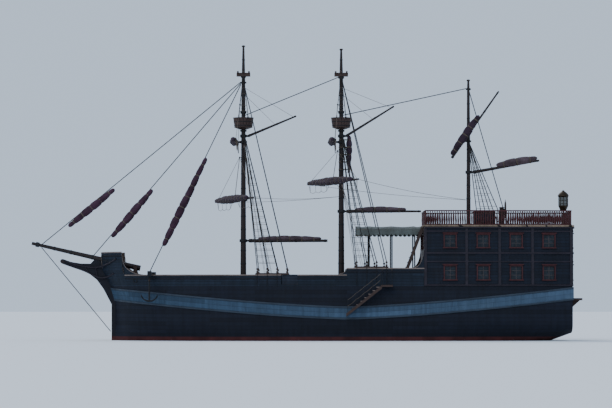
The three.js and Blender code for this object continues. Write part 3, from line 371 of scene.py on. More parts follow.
# Colour, roughness, metal, wear, scale, stretch, depth, stain, afloat
COATED = {
    "dark_wood": ((0.042, 0.026, 0.022), OILED, 0, 0.25, 4, (0.4, 1, 1), 0.004),
    "red_wood": ((0.05, 0.014, 0.016), OILED, 0, 0.25, 3.5, EVEN, 0.003, (0.09, 0.045, 0.042)),
    "spar_wood": ((0.02, 0.014, 0.014), (0.42, 0.62), 0, 0.2, 5, (1, 1, 0.15), 0.002),
    "yard_wood": ((0.019, 0.014, 0.014), (0.42, 0.62), 0, 0.2, 5, (1, 0.15, 1), 0.002),
    "rigging_wire": ((0.016, 0.015, 0.015), (0.6, 0.85), 0, 0.3, 20),
    "rope": ((0.11, 0.088, 0.068), (0.8, 0.95), 0, 0.3, 30),
    "iron": ((0.022, 0.023, 0.026), (0.5, 0.75), 0.6, 0.3, 6, EVEN, 0.003, (0.09, 0.045, 0.028)),
    "bronze": ((0.16, 0.105, 0.05), (0.35, 0.55), 0.9, 0.4, 5, EVEN, 0.002, (0.06, 0.095, 0.08)),
    # A darker copy of the bronze: painted shade on the stern lantern
    "lantern_bronze": ((0.035, 0.025, 0.017), (0.4, 0.6), 0.7, 0.4, 6, EVEN, 0.002,
                       (0.03, 0.05, 0.045)),
    "sash_paint": ((0.06, 0.05, 0.052), (0.45, 0.65), 0, 0.3, 6),
    "trim_black": ((0.006, 0.007, 0.012), (0.5, 0.7), 0, 0.15, 4, EVEN, 0.003, None, True),
    "nest_wood": ((0.05, 0.03, 0.026), OILED, 0, 0.3, 5, (1, 1, 0.2), 0.004),
    "castle_trim": ((0.017, 0.014, 0.021), OILED, 0, 0.3, 4, (0.4, 1, 1), 0.003,
                    (0.042, 0.034, 0.038)),
    "band_edge": ((0.027, 0.038, 0.055), (0.42, 0.62), 0, 0.25, 4, (0.3, 1, 1)),
    "rail_wood": ((0.16, 0.125, 0.11), (0.38, 0.58), 0, 0.3, 4, (0.3, 1, 1)),
    "lamp_glass": ((0.12, 0.13, 0.13), (0.15, 0.3), 0, 0.3, 4),
}
# Colour, roughness, weave, depth of the folds, darkest and lightest share of the painted crease
# shade
CLOTHS = {
    "furled_cloth": ((0.032, 0.018, 0.03),),
    "jib_cloth": ((0.046, 0.02, 0.036),),
    "boom_cloth": ((0.075, 0.052, 0.062),),
    "canvas": ((0.1, 0.115, 0.11), 0.85, 21.0, 0.4, (0.85, 1.15)),
}


def build_materials():
    made = {"shaded_window_glass": glass("shaded_window_glass")}
    for recipe, table in ((planked, PLANKED), (coated, COATED), (cloth, CLOTHS)):
        for name, plan in table.items():
            made[name] = recipe(name, *plan)
    return made


# Mesh making

def turns(sides, count=None):
    """Angles that step round by equal sides: one full turn, unless a count is given."""
    return [2 * math.pi * n / sides for n in range(count or sides)]


# Corners of a block's faces, with the corners in the order that box gives them
BLOCK = ((0, 1, 3, 2), (4, 6, 7, 5), (0, 4, 5, 1), (2, 3, 7, 6), (0, 2, 6, 4), (1, 5, 7, 3))


class Form:
    """The points and faces of one piece, gathered before its mesh is made."""

    def __init__(self):
        self.points = []
        self.faces = []
        self.kinds = []
        self.smooth = []
        self.uvs = []

    def add(self, points, faces, kind=0, smooth=False, uvs=None):
        base = len(self.points)
        self.points.extend(tuple(p) for p in points)
        for n, face in enumerate(faces):
            self.faces.append([base + i for i in face])
            self.kinds.append(kind)
            self.smooth.append(smooth)
            self.uvs.append(uvs[n] if uvs else None)

    def grid(self, rows, kind=0, smooth=True, uv=None, close=False, flip=False):
        """A patch through rows of points. uv gives the place of point j of row i."""
        wide = len(rows[0])
        faces, uvs = [], []
        for i in range(len(rows) - 1):
            for j in range(wide if close else wide - 1):
                corners = [(i, j), (i + 1, j), (i + 1, (j + 1) % wide), (i, (j + 1) % wide)]
                if flip:
                    corners.reverse()
                faces.append([a * wide + b for a, b in corners])
                if uv:
                    uvs.append([uv(a, b) for a, b in corners])
        self.add([p for row in rows for p in row], faces, kind, smooth, uvs or None)

    def lid(self, ring, kind=0, flip=False):
        order = list(range(len(ring)))
        self.add(ring, [order[::-1] if flip else order], kind)

    def bar(self, rows, kind=0, smooth=False):
        """A solid bar: closed sections, with a lid on the first and the last."""
        self.grid(rows, kind, smooth, close=True)
        self.lid(rows[0], kind)
        self.lid(rows[-1], kind, flip=True)

    def block(self, corners, kind=0):
        self.add(corners, BLOCK, kind)

    def box(self, x0, x1, y0, y1, z0, z1, kind=0):
        self.block([(x, y, z) for x in sorted((x0, x1)) for y in sorted((y0, y1))
                    for z in (z0, z1)], kind)

    def tube(self, path, radii, sides=8, kind=0, ends=True):
        """A round bar along a path, with a radius for each point or one for all."""
        path = [Vector(p) for p in path]
        if not hasattr(radii, "__len__"):
            radii = [radii] * len(path)
        rows = []
        side = None
        for n, point in enumerate(path):
            ahead = path[min(n + 1, len(path) - 1)] - path[max(n - 1, 0)]
            ahead.normalize()
            if side is None:
                side = ahead.cross(Vector((0, 0, 1)))
                if side.length < 0.1:
                    side = ahead.cross(Vector((0, 1, 0)))
            side = (side - ahead * side.dot(ahead)).normalized()
            up = side.cross(ahead)
            rows.append([point + radii[n] * (side * math.cos(a) + up * math.sin(a))
                         for a in turns(sides)])
        self.grid(rows, kind, close=True, flip=True)
        if ends:
            self.lid(rows[0], kind)
            self.lid(rows[-1], kind, flip=True)

    def turned(self, profile, x, y, sides=24, kind=0, smooth=True):
        """A turned shape about the upright line through (x, y), from (radius, z) pairs."""
        self.bar([[(x + r * math.cos(a), y + r * math.sin(a), z) for a in turns(sides)]
                  for r, z in profile], kind, smooth)

    def hoop(self, section, x, kind):
        """A ring with a closed section of (radius, z) pairs, about the line through (x, 0)."""
        self.grid([[(x + r * math.cos(a), r * math.sin(a), z) for r, z in section]
                   for a in turns(32, 33)], kind, close=True)

    def turn(self, x, degrees):
        """Turns all that is gathered so far about the upright line through (x, 0)."""
        self.points = [turned_about(p, x, degrees) for p in self.points]

    def make(self, name, materials, body, replaces=(), bevel=0.0, crease=40):
        """Makes the mesh, gives it its materials and lets it ride on its body."""
        mesh = bpy.data.meshes.new(name)
        mesh.from_pydata(self.points, [], self.faces)
        for material in materials:
            mesh.materials.append(MATERIALS[material])
        mesh.polygons.foreach_set("material_index", self.kinds)
        mesh.polygons.foreach_set("use_smooth", self.smooth)
        if any(self.uvs):
            layer = mesh.uv_layers.new(name="girth")
            for polygon, uvs in zip(mesh.polygons, self.uvs):
                if uvs:
                    for loop, place in zip(polygon.loop_indices, uvs):
                        layer.data[loop].uv = place
        mesh.update()
        tidy = bmesh.new()
        tidy.from_mesh(mesh)
        bmesh.ops.remove_doubles(tidy, verts=tidy.verts, dist=1e-5)
        bmesh.ops.dissolve_degenerate(tidy, dist=1e-6, edges=tidy.edges)
        bmesh.ops.recalc_face_normals(tidy, faces=tidy.faces)
        tidy.to_mesh(mesh)
        tidy.free()
        mesh.set_sharp_from_angle(angle=math.radians(crease))
        piece = bpy.data.objects.new(name, mesh)
        bpy.context.collection.objects.link(piece)
        if bevel:
            soften(piece, bevel, 35)
        if body:
            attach(piece, body)
        if replaces:
            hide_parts(*replaces)
        return piece


def soften(piece, width, angle):
    """Rounds the edges that are sharper than an angle in degrees."""
    rounding = piece.modifiers.new("rounding", "BEVEL")
    rounding.width = width
    rounding.segments = 2
    rounding.limit_method = "ANGLE"
    rounding.angle_limit = math.radians(angle)


def turned_about(point, x, degrees):
    c, s = math.cos(math.radians(degrees)), math.sin(math.radians(degrees))
    px, py, pz = point
    return (x + (px - x) * c - py * s, (px - x) * s + py * c, pz)


def mix(a, b, t):
    return tuple(u + (v - u) * t for u, v in zip(a, b))


def spaced(a, b, count):
    return [a + (b - a) * n / (count - 1) for n in range(count)]


def running(points):
    """How far along a line each of its points lies."""
    far = [0.0]
    for a, b in zip(points, points[1:]):
        far.append(far[-1] + math.dist(a, b))
    return far


def curve_point(points, place):
    """A point on the smooth curve through some points, which lie at 0, 1, 2 and so on."""
    i = min(int(place), len(points) - 2)
    t = place - i
    a, b, c, d = (points[min(max(n, 0), len(points) - 1)] for n in range(i - 1, i + 3))
    return [0.5 * (2 * q + (r - p) * t + (2 * p - 5 * q + 4 * r - s) * t * t
                   + (3 * q - p - 3 * r + s) * t ** 3) for p, q, r, s in zip(a, b, c, d)]


def smooth_curve(points, steps):
    return [curve_point(points, n / steps) for n in range((len(points) - 1) * steps + 1)]


# Hull form, the same curves as the part's source


def stem_x(z):
    if z < 0:
        return STEM_X - 1.5 * (-z / 2.2) ** 2.2
    return STEM_X + 0.9 * (min(max(z - 2.2, 0), 2.24) / 2.24) ** 1.5


FINE_FRAMES = smooth_curve(STATIONS, 8)
COARSE_FRAMES = smooth_curve(STATIONS, 2)


def frame_x(frame, z):
    return frame[0] + frame[5] * (stem_x(z) - STEM_X)


def side_y(frame, z):
    return frame[2] + (frame[3] - frame[2]) * (z - CHINE) / (WAIST_RAIL - CHINE)


def strake_z(x):
    run = (x + 0.7) / 13.5
    return 1.68 + (1.05 if run > 0 else 1.15) * abs(run) ** 1.4


def breadth_at(x, z):
    for a, b in zip(COARSE_FRAMES, COARSE_FRAMES[1:]):
        if a[0] <= x <= b[0]:
            t = (x - a[0]) / (b[0] - a[0])
            return side_y(a, z) * (1 - t) + side_y(b, z) * t
    return side_y(COARSE_FRAMES[0], z)


def bow_breadth(x, z):
    """The half breadth near the bow, where the frames rake forward; nothing ahead of the stem."""
    for a, b in zip(FINE_FRAMES, FINE_FRAMES[1:]):
        x0, x1 = frame_x(a, z), frame_x(b, z)
        if x0 <= x <= x1:
            return mix((side_y(a, z),), (side_y(b, z),), (x - x0) / (x1 - x0))[0]
    return 0


def skin_points(frame, side):
    """Points up one frame, from the keel to the hull's top."""
    points = []
    power = 2 / frame[4]
    # The bilge curves from the keel out to the chine
    rows = 16
    for j in range(rows):
        angle = j / (rows - 1) * math.pi / 2
        out = math.sin(angle) ** power
        down = 0 if j == rows - 1 else math.cos(angle) ** power
        y = KEEL_HALF + (frame[2] - KEEL_HALF) * out
        z = CHINE - (CHINE - frame[1]) * down
        points.append((frame_x(frame, z), side * y, z))
    middle = strake_z(frame[0])
    low, high = middle - STRAKE_HALF, middle + STRAKE_HALF
    heights = spaced(CHINE, low, 3)[1:] + spaced(low, high, 3)[1:] + spaced(high, HULL_TOP, 3)[1:]
    if low < CHINE + 0.05:
        heights = spaced(CHINE, HULL_TOP, 7)[1:]
    for z in heights:
        points.append((frame_x(frame, z), side * side_y(frame, z), z))
    return points


# How far the planks' ends run into the stem, and how deep below its face
HOOD_LENGTH = 0.08
HOOD_DEPTH = 0.02


def hood_ends(row):
    """The ends of the planks, let into the side of the stem."""
    half = KEEL_HALF - HOOD_DEPTH
    return [(x + HOOD_LENGTH, math.copysign(half, y), z) for x, y, z in row]


def hull_skin():
    form = Form()
    sides = {}
    for side in (1, -1):
        rows = [skin_points(frame, side) for frame in FINE_FRAMES]
        rows.append(hood_ends(rows[-1]))
        sides[side] = rows
        lengths = running([row[-1] for row in rows])
        girths = [running(row[::-1])[::-1] for row in rows]
        form.grid(rows, 0, uv=lambda i, j: (lengths[i], -girths[i][j]), flip=side < 0)
    # The transom, the strip under the keel and the strip up the stem
    pairs = list(zip(sides[1], sides[-1]))
    form.grid([[mix(a, b, t) for t in spaced(0, 1, 9)] for a, b in zip(*pairs[0])], 1,
              smooth=False)
    form.grid([[a[0], b[0]] for a, b in pairs], 0, smooth=False)
    form.grid(pairs[-1], 0, smooth=False)
    # The well that the main deck lies in: its rim, sides and floor
    well = [f for f in FINE_FRAMES if STERN_X + 0.25 <= f[0] <= FORE_DECK_AFT]

    def inner(frame, side, z):
        return side_point(frame, side, z, -WALL)
    for side in (1, -1):
        rim = [[side_point(f, side, HULL_TOP, 0), inner(f, side, HULL_TOP),
                inner(f, side, WELL_FLOOR)] for f in well]
        form.grid(rim, 0, smooth=False)
    form.grid([[inner(f, 1, WELL_FLOOR), inner(f, -1, WELL_FLOOR)] for f in well], 0, smooth=False)
    # The hull's top astern of the well and ahead of it, and the well's end walls
    aft, fore = (FINE_FRAMES.index(well[n]) for n in (0, -1))
    for part, end in ((slice(aft + 1), well[0]), (slice(fore, None), well[-1])):
        form.grid([[a[-1], b[-1]] for a, b in pairs[part]], 0, smooth=False)
        form.lid([inner(end, 1, HULL_TOP), inner(end, -1, HULL_TOP),
                  inner(end, -1, WELL_FLOOR), inner(end, 1, WELL_FLOOR)])
    form.make("hull_skin", ["hull_paint", "transom_paint"], "ship", ["hull"], crease=35)


def band_rows(side, profile, frames):
    """Rows along the ship's side through (height, proud) pairs off the band's middle line."""
    rows = []
    for frame in frames:
        middle = strake_z(frame[0])
        rows.append([(frame_x(frame, middle + up), side * (side_y(frame, middle + up) + out),
                      middle + up) for up, out in profile])
    return rows


def pale_band():
    """The pale band with a rounded wale along each edge, round both sides and the stern."""
    h = STRAKE_HALF
    face = STRAKE_PROUD * 0.55
    profile = [(-h, 0.001), (-h, 0.045), (-h + 0.02, STRAKE_PROUD), (-h + 0.09, STRAKE_PROUD),
               (-h + 0.11, face), (-0.13, face), (0.13, face), (h - 0.11, face),
               (h - 0.09, STRAKE_PROUD), (h - 0.02, STRAKE_PROUD), (h, 0.045), (h, 0.001)]
    form = Form()
    for side in (1, -1):
        rows = band_rows(side, profile, FINE_FRAMES)
        aft = [(x - STRAKE_PROUD, y, z) for x, y, z in rows[0]]
        rows = [aft, *rows, hood_ends(rows[-1])]
        along = running([row[5] for row in rows])
        for first, last, kind in ((0, 4, 1), (4, 7, 0), (7, 11, 1)):
            part = [row[first:last + 1] for row in rows]
            form.grid(part, kind, uv=lambda i, j, f=first: (along[i], profile[f + j][0]),
                      flip=side < 0)
        form.lid(aft, 1)
    middle = strake_z(STERN_X)
    breadth = STATIONS[0][2] + 0.03
    for low, high, proud, kind in ((-h, -h + 0.1, STRAKE_PROUD, 1), (h - 0.1, h, STRAKE_PROUD, 1),
                                   (-h + 0.1, h - 0.1, face, 0)):
        form.box(STERN_X - proud, STERN_X - 0.001, -breadth, breadth, middle + low,
                 middle + high, kind)
    form.make("pale_band", ["band_paint", "band_edge"], "ship", ["strake"], crease=30)


# Bulwarks with their rails, timberheads and catheads

def side_point(frame, side, z, out):
    return (frame_x(frame, z), side * max(side_y(frame, z) + out, 0.008), z)


def frame_through(x):
    for a, b in zip(FINE_FRAMES, FINE_FRAMES[1:]):
        if a[0] <= x <= b[0]:
            return mix(a, b, (x - a[0]) / (b[0] - a[0]))
    return FINE_FRAMES[-1] if x > 0 else FINE_FRAMES[0]


def frames_between(x0, x1):
    """Fine frames over a stretch, with one made at each of its ends."""
    inside = [f for f in FINE_FRAMES if x0 + 0.02 < f[0] < x1 - 0.02]
    return [frame_through(x0), *inside, frame_through(x1)]


def wall_stretch(form, side, x0, x1, z0, z1):
    """A stretch of wall that follows the ship's side, planked outside and in."""
    frames = frames_between(x0, x1)
    along = running([(f[0], f[2]) for f in frames])
    heights = spaced(z0, z1, 3)
    outer = [[side_point(f, side, z, 0.0) for z in heights] for f in frames]
    inner = [[side_point(f, side, z, -WALL) for z in heights] for f in frames]

    def place(i, j):
        return (x0 + along[i], heights[j])
    form.grid(outer, 0, uv=place, flip=side < 0)
    form.grid(inner, 1, uv=place, flip=side > 0)
    for j in (0, -1):
        edge = [[a[j], b[j]] for a, b in zip(outer, inner)]
        form.grid(edge, 1, smooth=False, uv=lambda i, k: (along[i], k * 0.1),
                  flip=(side < 0) == (j == -1))
    for n in (0, -1):
        form.grid([outer[n], inner[n]], 1, smooth=False, uv=lambda i, k: (i * 0.1, heights[k]),
                  flip=(side < 0) == (n == 0))


def rail_cap(form, side, x0, x1, top, kind):
    """A rounded cap rail, proud of the wall on both faces."""
    frames = frames_between(x0, x1)
    profile = [(-0.07, 0.03), (-0.055, 0.045), (-0.015, 0.045), (0.0, 0.03), (0.0, -WALL - 0.03),
               (-0.015, -WALL - 0.045), (-0.055, -WALL - 0.045), (-0.07, -WALL - 0.03)]
    rows = [[side_point(f, side, top + up, out) for up, out in profile] for f in frames]
    form.grid(rows, kind, close=True, flip=side < 0)
    form.lid(rows[0], kind)
    form.lid(rows[-1], kind, flip=True)


TIMBER_GAP = 1.05
# Steps of the rail: the high side's end, which way the low side lies, the low rail, run and rise
HANCES = (
    (BOW_RAIL_X, -1, WAIST_RAIL, 0.75, 1.2),
    (AFT_RAIL_X, 1, WAIST_RAIL, 0.45, 0.38),
    (CASTLE_FRONT + WALL, 1, AFT_RAIL, 0.6, 1.3),
)


def hance(form, side, x_high, way, z_low, run, rise):
    """A hollow-curved bracket that eases one step of the rail."""
    rows = []
    for t in spaced(0, 1, 11):
        frame = frame_through(x_high + way * run * (1 - t))
        z = z_low + 0.012 + (rise - 0.012) * (1 - math.sqrt(1 - t * t))
        rows.append([side_point(frame, side, up, out) for up, out in (
            (z_low + 0.001, 0.0), (z, 0.0), (z + 0.02, 0.025), (z + 0.045, 0.02),
            (z + 0.045, -WALL - 0.02), (z + 0.02, -WALL - 0.025), (z, -WALL),
            (z_low + 0.001, -WALL))])
    flip = (side < 0) == (way < 0)
    form.grid([row[:2] for row in rows], 0, smooth=False, flip=flip)
    form.grid([row[1:7] for row in rows], 2, flip=flip)
    form.grid([row[6:] for row in rows], 1, smooth=False, flip=flip)
    form.grid([[row[7], row[0]] for row in rows], 1, smooth=False, flip=flip)
    form.lid(rows[0], 2, flip=flip)
    form.lid(rows[-1], 2, flip=not flip)


CATHEAD = dict(x=11.15, wide=0.2, low=3.9, high=4.2, inboard=0.3, reach=0.8, cap=0.06)


def bulwark(side, name):
    form = Form()
    front = CASTLE_FRONT + WALL
    for x0, x1, top in ((front, AFT_RAIL_X, AFT_RAIL), (AFT_RAIL_X, GATE[0], WAIST_RAIL),
                        (GATE[1], BOW_RAIL_X, WAIST_RAIL), (BOW_RAIL_X, STEM_X, BOW_RAIL)):
        wall_stretch(form, side, x0, x1, HULL_TOP + 0.001, top - 0.07)
        rail_cap(form, side, x0, x1, top, 2)
        # A moulding runs under the rail outside
        form.grid([[side_point(f, side, top - 0.24 + up, out) for up, out in
                    ((-0.05, 0.0), (-0.04, 0.028), (0.04, 0.028), (0.05, 0.0))]
                   for f in frames_between(x0, x1)], 3, flip=side < 0)
    wall_stretch(form, side, GATE[0], GATE[1], HULL_TOP + 0.001, GATE[2])
    for step in HANCES:
        hance(form, side, *step)
    # Timberheads stand inside the bulwark
    x = front + 0.5
    while x < 12.9:
        top = AFT_RAIL if x < AFT_RAIL_X else WAIST_RAIL if x < BOW_RAIL_X else BOW_RAIL
        if not GATE[0] - 0.2 < x < GATE[1] + 0.2 and abs(x - BOW_RAIL_X) > 0.15:
            deck = DECK if x < FORE_DECK_AFT - 0.1 else FORE_DECK
            y = min(breadth_at(x, top), breadth_at(x, deck)) - WALL
            form.box(x - 0.06, x + 0.06, side * (y - 0.11), side * (y + 0.02), deck + 0.001,
                     top - 0.071, 3)
        x += TIMBER_GAP
    # The cathead carries the anchor, and has a cap round its end
    c = CATHEAD
    x0, x1, low, high = c["x"], c["x"] + c["wide"], c["low"], c["high"]
    y = side_y(min(COARSE_FRAMES, key=lambda f: abs(f[0] - x0)), WAIST_RAIL)
    end = y + c["reach"]
    form.box(x0, x1, side * (y - c["inboard"]), side * (end - 0.01), low, high, 3)
    form.box(x0 - 0.02, x1 + 0.02, side * (end - c["cap"]), side * end, low - 0.01, high + 0.01, 3)
    form.make(f"bulwark_skin_{name}", ["bulwark_paint", "bulwark_inner", "rail_wood",
                                       "trim_black"], "ship", [f"bulwark_{name}"])


# Windows, doors and mouldings of the castle

def wall_frame(x, z):
    """The quarter wall's outer face at a place: its breadth and how it leans and tapers."""
    step = 0.05
    lean = (breadth_at(x, z + step) - breadth_at(x, z - step)) / (2 * step)
    taper = (breadth_at(x + step, z) - breadth_at(x - step, z)) / (2 * step)
    return breadth_at(x, z), lean, taper


WINDOW_FRAME = 0.07
SASH_HALF = 0.016
PANES_ACROSS, PANES_UP = 2, 3
WINDOW_PAINTS = ["red_wood", "shaded_window_glass", "sash_paint"]


def set_window(form, to_world, half, z0, z1):
    """A framed window with bars and a hood. to_world places (across, out, up) on its wall."""
    high = (z1 - z0) / 2
    edge = half + WINDOW_FRAME

    def block(a0, a1, out, u0, u1, kind=0):
        form.block([to_world(a, o, u) for a in (a0, a1) for o in out for u in (u0, u1)], kind)
    block(-edge, edge, (-0.09, 0.05), high, high + WINDOW_FRAME)
    block(-edge - 0.05, edge + 0.05, (-0.09, 0.09), -high - WINDOW_FRAME, -high)
    block(-edge, -half, (-0.09, 0.05), -high, high)
    block(half, edge, (-0.09, 0.05), -high, high)
    block(-half, half, (-0.055, -0.042), -high, high, 1)
    bar = (-0.044, -0.018)
    for a in spaced(-half, half, PANES_ACROSS + 1)[1:-1]:
        block(a - SASH_HALF, a + SASH_HALF, bar, -high, high, 2)
    for u in spaced(-high, high, PANES_UP + 1)[1:-1]:
        block(-half, half, bar, u - SASH_HALF, u + SASH_HALF, 2)
    block(-edge - 0.06, edge + 0.06, (-0.02, 0.11), high + WINDOW_FRAME, high + WINDOW_FRAME + 0.06)


def quarter_windows(side, name):
    form = Form()
    for x in WINDOW_X:
        for z0, z1 in WINDOW_ROWS:
            middle = (z0 + z1) / 2
            y, lean, taper = wall_frame(x, middle)

            def place(across, out, up):
                outward = y + lean * up + taper * across + out
                return (x + across - taper * out, side * outward, middle + up - lean * out)
            set_window(form, place, WINDOW_HALF, z0, z1)
    form.make(f"quarter_windows_{name}", WINDOW_PAINTS, "ship", bevel=0.006)


def stern_windows():
    form = Form()
    for y in STERN_WINDOW_Y:
        for z0, z1 in WINDOW_ROWS:
            set_window(form, lambda across, out, up: (STERN_X - out, y + across, (z0 + z1) / 2 + up),
                       WINDOW_HALF, z0, z1)
    form.make("stern_windows", WINDOW_PAINTS, "ship", bevel=0.006)


def bulkhead_windows():
    """Windows and door casings in the castle's front."""
    form = Form()
    x = CASTLE_FRONT + WALL
    low, high = WINDOW_ROWS[1][0] - 0.05, WINDOW_ROWS[1][1]
    for y in (FRONT_WINDOW_Y, -FRONT_WINDOW_Y):
        set_window(form, lambda across, out, up: (x + out, y + across, (low + high) / 2 + up),
                   0.4, low, high)
        for edge in (-1, 1):
            form.box(x, x + 0.045, y + edge * 0.43, y + edge * 0.53, DECK + 0.01, 4.79)
        form.box(x, x + 0.065, y - 0.58, y + 0.58, 4.8, 4.92)
    form.make("bulkhead_casings", WINDOW_PAINTS, "ship", bevel=0.006)


# Mouldings round the castle: height of the middle, breadth and how far it stands out
MOULDINGS = ((3.36, 0.1, 0.05), (4.78, 0.09, 0.05), (5.3, 0.12, 0.07), (6.62, 0.1, 0.05),
             (6.84, 0.1, 0.11))
POST_TOP = 6.79
SIDE_POSTS = (STERN_X + 0.09, -7.9, -9.9, -11.9, CASTLE_FRONT + 0.05)
STERN_POSTS = (-2.3, -1.1, 0.0, 1.1, 2.3)


def castle_mouldings():
    """Mouldings and posts that band the castle's sides and stern."""
    form = Form()
    for side in (1, -1):
        frames = frames_between(STERN_X, CASTLE_FRONT + WALL)
        for z, high, out in MOULDINGS:
            half = high / 2
            rows = [[side_point(f, side, z + up, o) for up, o in
                     ((-half, 0.001), (-half + 0.012, out), (half - 0.012, out), (half, 0.001))]
                    for f in frames]
            form.grid(rows, 0, smooth=False, flip=side < 0)
            form.lid(rows[0], 0, flip=side < 0)
            form.lid(rows[-1], 0, flip=side > 0)
        for x in SIDE_POSTS:
            form.grid([[(x + dx, side * (breadth_at(x, z) + out), z) for dx, out in
                        ((-0.09, -0.002), (-0.08, 0.045), (0.08, 0.045), (0.09, -0.002))]
                       for z in spaced(HULL_TOP + 0.02, POST_TOP, 12)], 0, smooth=False,
                      flip=side > 0)
    for z, high, out in MOULDINGS:
        half = breadth_at(STERN_X, z) + 0.02
        form.box(STERN_X - out, STERN_X - 0.001, -half, half, z - high / 2, z + high / 2)
    for y in STERN_POSTS:
        form.box(STERN_X - 0.038, STERN_X - 0.001, y - 0.09, y + 0.09, HULL_TOP + 0.05, POST_TOP)
    form.make("castle_mouldings", ["castle_trim"], "ship", bevel=0.008)


# Masts

NEST = dict(floor=13.05, rim=13.65, under=12.92, r=0.56, flare=0.64, staves=20)
MAST_CAP = 13.98
TREES = (16.18, 16.5, 0.42)
HOOPS = {
    "fore": (3.9, 4.7, 5.5, 6.8, 7.6, 9.3, 10.2, 11.1, 11.7, 14.2, 15.0, 17.2),
    "main": (3.9, 4.7, 5.5, 6.3, 7.1, 8.7, 10.4, 11.1, 11.7, 14.2, 15.0, 17.2),
    "mizzen": (7.9, 8.7, 9.5, 11.0, 11.7, 13.6, 14.5),
}


def mast_radius(mast, z):
    if z > mast["head"]:
        share = (z - mast["head"]) / (mast["truck"] - mast["head"])
        return mast["rh"] + (mast["r1"] - mast["rh"]) * share
    return mast["r0"] + (mast["rh"] - mast["r0"]) * (z - DECK) / (mast["head"] - DECK)


def crosstrees(form, x, mast_r):
    """Two trestle trees along the ship beside the pole, and three crosstrees over them."""
    low, high, half = TREES
    seat = low + 0.2
    for side in (1, -1):
        form.box(x - half, x + half, side * (mast_r - 0.01), side * (mast_r + 0.08), low,
                 seat + 0.02, 2)
    for dx in (-0.34, 0.0, 0.34):
        wide = 0.05
        rows = []
        for y, drop, slim in ((-half, 0.03, 0.6), (-0.25, 0, 1), (0.25, 0, 1), (half, 0.03, 0.6)):
            w, z0 = wide * slim, high - (high - seat) * slim
            rows.append([(x + dx - w, y, z0 - drop), (x + dx + w, y, z0 - drop),
                         (x + dx + w, y, high - drop), (x + dx - w, y, high - drop)])
        form.bar(rows, 2)
    form.turned([(mast_r, low - 0.1), (mast_r + 0.03, low - 0.09), (mast_r + 0.06, low - 0.001),
                 (mast_r, low - 0.001)], x, 0, 24, 1, smooth=False)


def iron_band(form, x, r, z, proud, half, ease):
    """An iron band round a mast, with its edges eased."""
    form.turned([(r, z - half), (r + proud, z - half + ease), (r + proud, z + half - ease),
                 (r, z + half)], x, 0, 32, 1, smooth=False)


def mast_piece(name):
    mast = MASTS[name]
    form = Form()
    x = mast["x"]
    top = mast["truck"] - 0.12
    heights = spaced(DECK + 0.001, mast["head"], 10) + spaced(mast["head"], top, 4)[1:]
    ball = [(0.05, top), (0.1, top + 0.015), (0.11, top + 0.05), (0.1, top + 0.09),
            (0.05, top + 0.115), (0.005, top + 0.12)]
    form.turned([(mast_radius(mast, z), z) for z in heights] + ball, x, 0, 32)
    for z in HOOPS[name]:
        iron_band(form, x, mast_radius(mast, z), z, 0.012, 0.035, 0.005)
    for z in (DECK, TOP_DECK) if name == "mizzen" else (DECK,):
        r = mast_radius(mast, z)
        form.turned([(r + 0.08, z + 0.002), (r + 0.075, z + 0.07), (r + 0.035, z + 0.15),
                     (r + 0.003, z + 0.16)], x, 0, 32, 2)
    if name != "mizzen":
        nest(form, x, mast_radius(mast, NEST["floor"]))
        crosstrees(form, x, mast_radius(mast, TREES[0]))
        iron_band(form, x, mast_radius(mast, MAST_CAP), MAST_CAP, 0.06, 0.09, 0.01)
    form.make(f"{name}_mast_pole", ["spar_wood", "iron", "dark_wood", "nest_wood"], "ship",
              [f"{name}_mast"], bevel=0.006, crease=32)


def nest(form, x, mast_r):
    """A barrel top of upright staves on a tapered foot, with hoops and a cap rail."""
    floor, rim, foot, r, flare = (NEST[k] for k in ("floor", "rim", "under", "r", "flare"))
    form.turned([(0.19, foot), (0.24, foot + 0.005), (r, floor - 0.01), (r + 0.01, floor + 0.02),
                 (r - 0.04, floor + 0.06), (mast_r, floor + 0.06)], x, 0, 32, 2)

    def radius_at(z):
        return r + (flare - r) * (z - floor) / (rim - floor)
    gap, thick = 0.012, 0.035
    low, high = floor + 0.02, rim - 0.05
    for a in turns(NEST["staves"]):
        sides = (a + gap, a + 2 * math.pi / NEST["staves"] - gap)
        form.block([(x + (edge - depth) * math.cos(b), (edge - depth) * math.sin(b), z)
                    for edge, z in ((r - gap, low), (radius_at(high) - gap, high))
                    for depth in (0, thick) for b in sides], 3)
    for z, tall in ((low + 0.06, 0.05), (low + 0.3, 0.045)):
        edge = radius_at(z)
        form.turned([(edge - 0.02, z), (edge - 0.002, z), (edge + 0.002, z + tall),
                     (edge - 0.02, z + tall)], x, 0, 32, 1, smooth=False)
    form.hoop([(flare - 0.065, rim - 0.05), (flare - 0.008, rim - 0.05), (flare, rim - 0.03),
               (flare, rim - 0.012), (flare - 0.01, rim), (flare - 0.06, rim),
               (flare - 0.065, rim - 0.012)], x, 2)


# Standing rigging

CABLE = 0.026
RATLINE = 0.011
RATLINE_GAP = 0.4
# A shroud starts this high over the rail or deck that its channel lies on
SHROUD_FOOT = 0.36
# Height at which the main and mizzen stays end, on the mast ahead
STAY_END = 13.8
SHROUDS = {
    "fore": dict(drops=(0.9, 1.5, 2.1), back=2.7, backs=(1, -1), board=WAIST_RAIL, inset=0),
    "main": dict(drops=(0.9, 1.5, 2.1), back=2.7, backs=(1, -1), board=AFT_RAIL, inset=0),
    "mizzen": dict(drops=(0.7, 1.3, 1.9), back=2.5, backs=(-1,), board=TOP_DECK, inset=0.26),
}
BOWSPRIT = dict(heel=11.95, tip=18.6, z=4.95, at=14.3, slope=0.2302, r0=0.17, r1=0.095)


def bowsprit_z(x):
    return BOWSPRIT["z"] + (x - BOWSPRIT["at"]) * BOWSPRIT["slope"]


def bowsprit_radius(x):
    t = (x - BOWSPRIT["heel"]) / (BOWSPRIT["tip"] - BOWSPRIT["heel"])
    return BOWSPRIT["r0"] + (BOWSPRIT["r1"] - BOWSPRIT["r0"]) * t


